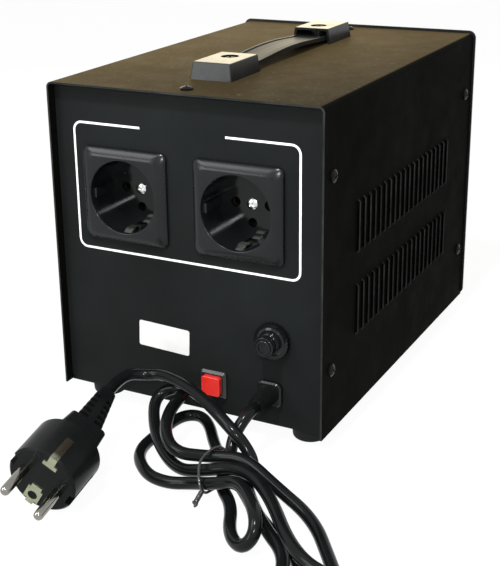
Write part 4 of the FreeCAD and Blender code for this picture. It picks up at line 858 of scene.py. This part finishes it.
def buildFootTree():
    tree, given, result = geometryTree("rubberFeet", feet)
    parts = []
    for outer, inner, low, edge in (("Outer Radius", "Recess Radius", 0.0, given["Edge Radius"]),
                                    ("Recess Radius", "Hole Radius", given["Recess Depth"], 0.0)):
        wide = mathNode(tree, "SUBTRACT", given[outer], given[inner])
        high = mathNode(tree, "SUBTRACT", given["Height"], low)
        middle = product(tree, mathNode(tree, "ADD", given[outer], given[inner]), 0.5)
        section = addNode(tree, "GeometryNodeCurvePrimitiveQuadrilateral", Width=wide, Height=high)
        rounded = addNode(tree, "GeometryNodeFilletCurve", {"mode": "POLY"}, Curve=section, Count=6,
                          Radius=edge)
        path = addNode(tree, "GeometryNodeCurvePrimitiveCircle", Resolution=56, Radius=middle)
        swept = addNode(tree, "GeometryNodeCurveToMesh", Curve=path, Profile_Curve=rounded)
        parts.append(raised(tree, swept, mathNode(tree, "ADD", product(tree, high, 0.5), low)))
    both = addNode(tree, "GeometryNodeJoinGeometry", Geometry=parts)
    x, y, z = splitAxes(tree, addNode(tree, "GeometryNodeInputPosition"))
    drop = mathNode(tree, "SUBTRACT", 1.0, mathNode(tree, "DIVIDE", z, given["Height"]))
    slope = mathNode(tree, "DIVIDE", given["Taper"], given["Outer Radius"])
    keep = mathNode(tree, "SUBTRACT", 1.0, product(tree, drop, slope))
    spot = combined(tree, product(tree, x, keep), product(tree, y, keep), z)
    tapered = addNode(tree, "GeometryNodeSetPosition", Geometry=both, Position=spot)
    return endTree(tree, given, result, tapered)


rubberFeet = addCopies("rubberFeet", buildFootTree(), [((x, y, 0), (0, 0, 1), 0.0) for x, y in footPlaces],
                       feet, footRubber, 40)
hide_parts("feet")
print("feet made")


# thread on the breaker's neck

thread = {
    "place": (48.8, 2.0, 57.8),
    "sizes": {"Radius": 5.28, "Length": 6.4, "Pitch": 0.8, "Thickness": 0.26},
}


def buildThreadTree():
    tree, given, result = geometryTree("neckThread", thread["sizes"])
    path = addNode(tree, "GeometryNodeCurveSpiral", Resolution=36, Height=given["Length"],
                   Rotations=mathNode(tree, "DIVIDE", given["Length"], given["Pitch"]),
                   Start_Radius=given["Radius"], End_Radius=given["Radius"])
    section = addNode(tree, "GeometryNodeCurvePrimitiveCircle", Resolution=6, Radius=given["Thickness"])
    swept = addNode(tree, "GeometryNodeCurveToMesh", Curve=path, Profile_Curve=section, Fill_Caps=True)
    return endTree(tree, given, result, swept)


addCopies("neckThread", buildThreadTree(), [(thread["place"], (0, -1, 0), 0.0)], thread["sizes"],
          socketGloss, 60)
print("thread made")


# prints on the rear panel: a white outline and a blank sticker

prints = {
    "frame": (-65.7, 63.5, 91.4, 159.4), "corner": 4.5,     # left, right, low and high
    "gap": (-25.7, 23.4),     # its upper line is open between these
    "line": 1.15, "thick": 0.06,
    "sticker": (-30.8, -0.1, 39.6, 53.9), "stickerCorner": 1.2, "stickerThick": 0.12,
    "stickerTurn": -2.2,    # in degrees, as it was stuck on by hand
    "arcSteps": 8,
}


def roundedCorners(left, right, low, high, r, steps):
    # the four corners' arcs, from the upper right one anticlockwise as seen from behind
    arcs = []
    for number, (x, z) in enumerate(((right - r, high - r), (left + r, high - r), (left + r, low + r),
                                     (right - r, low + r))):
        turns = [math.radians(90 * (number + step / steps)) for step in range(steps + 1)]
        arcs.append([(x + r * math.cos(turn), z + r * math.sin(turn)) for turn in turns])
    return arcs


def outlinePath(values):
    # from the gap's right end round the frame to its left end
    first, *others = roundedCorners(*values["frame"], values["corner"], values["arcSteps"])
    left, right = values["gap"]
    high = values["frame"][3]
    return [(right, high)] + sum(others + [first], [])[::-1] + [(left, high)]


def stickerOutline(values):
    outline = sum(roundedCorners(*values["sticker"], values["stickerCorner"], values["arcSteps"]), [])
    middle = sum((Vector(point) for point in outline), Vector((0, 0))) / len(outline)
    turn = Matrix.Rotation(math.radians(values["stickerTurn"]), 2)
    return [tuple(middle + turn @ (Vector(point) - middle)) for point in outline]


outline = stripMesh("panelOutline", outlinePath(prints), prints["line"], panelFace, -prints["thick"])
addPiece("panelOutline", outline, printWhite)
sticker = plateMesh("blankSticker", stickerOutline(prints), panelFace, -prints["stickerThick"])
addPiece("blankSticker", sticker, stickerWhite)
print("prints made")


# scale of the meter and the marks of the rocker, on the front

dial = {
    "pivot": (0, 217.0, 121.2),
    "thick": 0.08,
    "arcRadius": 23.5, "arcLine": 0.45, "arcSteps": 48,
    "sweep": (-45, 45),
    "major": 6, "minor": 5,
    "majorTick": (3.4, 0.6), "minorTick": (1.8, 0.3),     # length and line
    "numbers": ("0", "50", "100", "150", "200", "250"),
    "numberRadius": 29.6, "numberSize": 3.6, "numberThick": 0.04,
}


def dialSpot(values, share, radius):
    # seen from the front the scale runs from left to right, which is from +X to -X
    first, last = values["sweep"]
    turn = math.radians(first + (last - first) * share)
    x, y, z = values["pivot"]
    return (x - radius * math.sin(turn), z + radius * math.cos(turn))


def figureMesh(text, size, thick, spot, y):
    # a figure's right is -X, its top is +Z and it faces +Y, to the front
    curve = bpy.data.curves.new("figure", "FONT")
    curve.body = text
    curve.size = size * mm
    curve.extrude = thick * mm
    curve.align_x = "CENTER"
    curve.align_y = "CENTER"
    holder = addObject("figure", curve)
    turn = Matrix(((-1, 0, 0), (0, 0, 1), (0, 1, 0))).to_4x4()
    holder.matrix_world = Matrix.Translation(at(spot[0], y + thick, spot[1])) @ turn
    return meshOf(holder)


def makeDialMarks(values):
    y, thick, radius = values["pivot"][1], values["thick"], values["arcRadius"]
    arc = [dialSpot(values, step / values["arcSteps"], radius) for step in range(values["arcSteps"] + 1)]
    meshes = [stripMesh("scaleArc", arc, values["arcLine"], y, thick)]
    steps = (values["major"] - 1) * values["minor"]
    for step in range(steps + 1):
        length, line = values["minorTick" if step % values["minor"] else "majorTick"]
        ends = [dialSpot(values, step / steps, reach) for reach in (radius, radius + length)]
        meshes.append(stripMesh("scaleTick", ends, line, y, thick))
    for number, text in enumerate(values["numbers"]):
        spot = dialSpot(values, number / (len(values["numbers"]) - 1), values["numberRadius"])
        meshes.append(figureMesh(text, values["numberSize"], values["numberThick"], spot, y))
    work = bmesh.new()
    for mesh in meshes:
        work.from_mesh(mesh)
        bpy.data.meshes.remove(mesh)
    joined = bpy.data.meshes.new("dialMarks")
    work.to_mesh(joined)
    work.free()
    return joined


addPiece("dialMarks", makeDialMarks(dial), dialInk)

rockerMarks = {
    "pivot": (-44.0, 228.2, 68.2),
    "tilt": 10.0,
    "rise": 2.6, "dish": 1.6, "half": 7.4,
    "away": 4.0,          # each mark's place along the rocker from its middle
    "line": 0.55, "bar": 3.0, "ring": 1.35, "ringSteps": 28,
    "levels": (-0.02, 0.05),     # from just under the rocker's face to just over it
}


def makeRockerMarks(values):
    slope = (values["rise"] - values["dish"]) / values["half"]
    turn = Matrix.Rotation(math.radians(values["tilt"]), 4, "X")
    middle = at(*values["pivot"])
    away, half, radius, steps = values["away"], values["bar"] / 2, values["ring"], values["ringSteps"]

    def onFace(spot, level):
        # points are (across, along) on the rocker's face
        return middle + turn @ Vector((spot.x, values["dish"] + slope * abs(spot.y) + level, spot.y)) * mm

    turns = [math.tau * step / steps for step in range(steps)]
    ring = [(radius * math.cos(angle), radius * math.sin(angle) - away) for angle in turns]
    work = bmesh.new()
    addStrip(work, [(0, away - half), (0, away + half)], values["line"], values["levels"], onFace)
    addStrip(work, ring, values["line"], values["levels"], onFace, closed=True)
    return closedMesh("rockerMarks", work)


addPiece("rockerMarks", makeRockerMarks(rockerMarks), printWhite, "rocker")
print("marks of the front made")


# floor, backdrop and lamps

studio = {
    "floorSize": 30,
    "floorColour": (0.6, 0.6, 0.6, 1),
    "floorGlow": 0.9,       # the share of the seen floor that is plain light, and the rest takes the shadow
    "floorLight": 1.05,
    "worldStrength": 0.45,
    "lamps": [   # name, place, aim, size, watts, colour
        ("keyLamp", (-0.85, -0.95, 1.15), (0, 0, 0.08), 0.7, 10, (1, 1, 1)),
        ("cameraLamp", (0.25, -0.62, 0.36), (0, -0.12, 0.08), 0.05, 2.2, (1, 1, 1)),
        ("streakLamp", (0.1, -0.75, 1.25), (0, -0.1, 0.05), 0.12, 17, (1, 1, 1)),
        ("lowLamp", (-0.7, -1.15, 0.36), (0, -0.1, 0.2), 0.4, 3.5, (1, 1, 1)),
        ("farLamp", (-0.5, 0.76, 0.40), (0, 0, 0.18), 0.6, 2.4, (1.0, 0.84, 0.5)),
    ],
}


def seenDirectly(tree):
    # 1 for what the camera sees, also by reflection or through the window
    path = addNode(tree, "ShaderNodeLightPath", out=None)
    rays = [path[label] for label in ("Is Camera Ray", "Is Glossy Ray", "Is Transmission Ray")]
    return mathNode(tree, "MAXIMUM", *rays)


def makeFloor(values):
    size = values["floorSize"]
    corners = [(-size, -size, 0), (size, -size, 0), (size, size, 0), (-size, size, 0)]
    mesh = bpy.data.meshes.new("floor")
    mesh.from_pydata(corners, [], [(0, 1, 2, 3)])
    material = bpy.data.materials.new("paleFloor")
    material.use_nodes = True
    tree = material.node_tree
    shader = tree.nodes["Principled BSDF"]
    shader.inputs["Base Color"].default_value = values["floorColour"]
    shader.inputs["Roughness"].default_value = 0.9
    shader.inputs["Specular IOR Level"].default_value = 0.0
    glow = addNode(tree, "ShaderNodeEmission", Color=(1, 1, 1, 1), Strength=values["floorLight"])
    mix = tree.nodes.new("ShaderNodeMixShader")
    feed(tree, product(tree, seenDirectly(tree), values["floorGlow"]), mix.inputs["Fac"])
    feed(tree, shader.outputs["BSDF"], mix.inputs[1])
    feed(tree, glow, mix.inputs[2])
    feed(tree, mix.outputs["Shader"], tree.nodes["Material Output"].inputs["Surface"])
    mesh.materials.append(material)
    addObject("floor", mesh)


def makeWorld(values):
    world = bpy.data.worlds.new("studio")
    scene.world = world
    world.use_nodes = True
    tree = world.node_tree
    background = tree.nodes["Background"]
    background.inputs["Color"].default_value = (1, 1, 1, 1)
    level = rangeNode(tree, seenDirectly(tree), 0, 1, values["worldStrength"], 1)
    feed(tree, level, background.inputs["Strength"])


def makeLamps(values):
    for name, place, aim, side, power, colour in values["lamps"]:
        data = bpy.data.lights.new(name, "AREA")
        data.shape = "SQUARE"
        data.size = side
        data.energy = power
        data.color = colour
        lamp = addObject(name, data)
        lamp.location = place
        lamp.rotation_euler = (Vector(place) - Vector(aim)).to_track_quat("Z", "Y").to_euler()
        lamp.visible_camera = False


makeFloor(studio)
makeWorld(studio)
makeLamps(studio)
print("floor and lamps set")
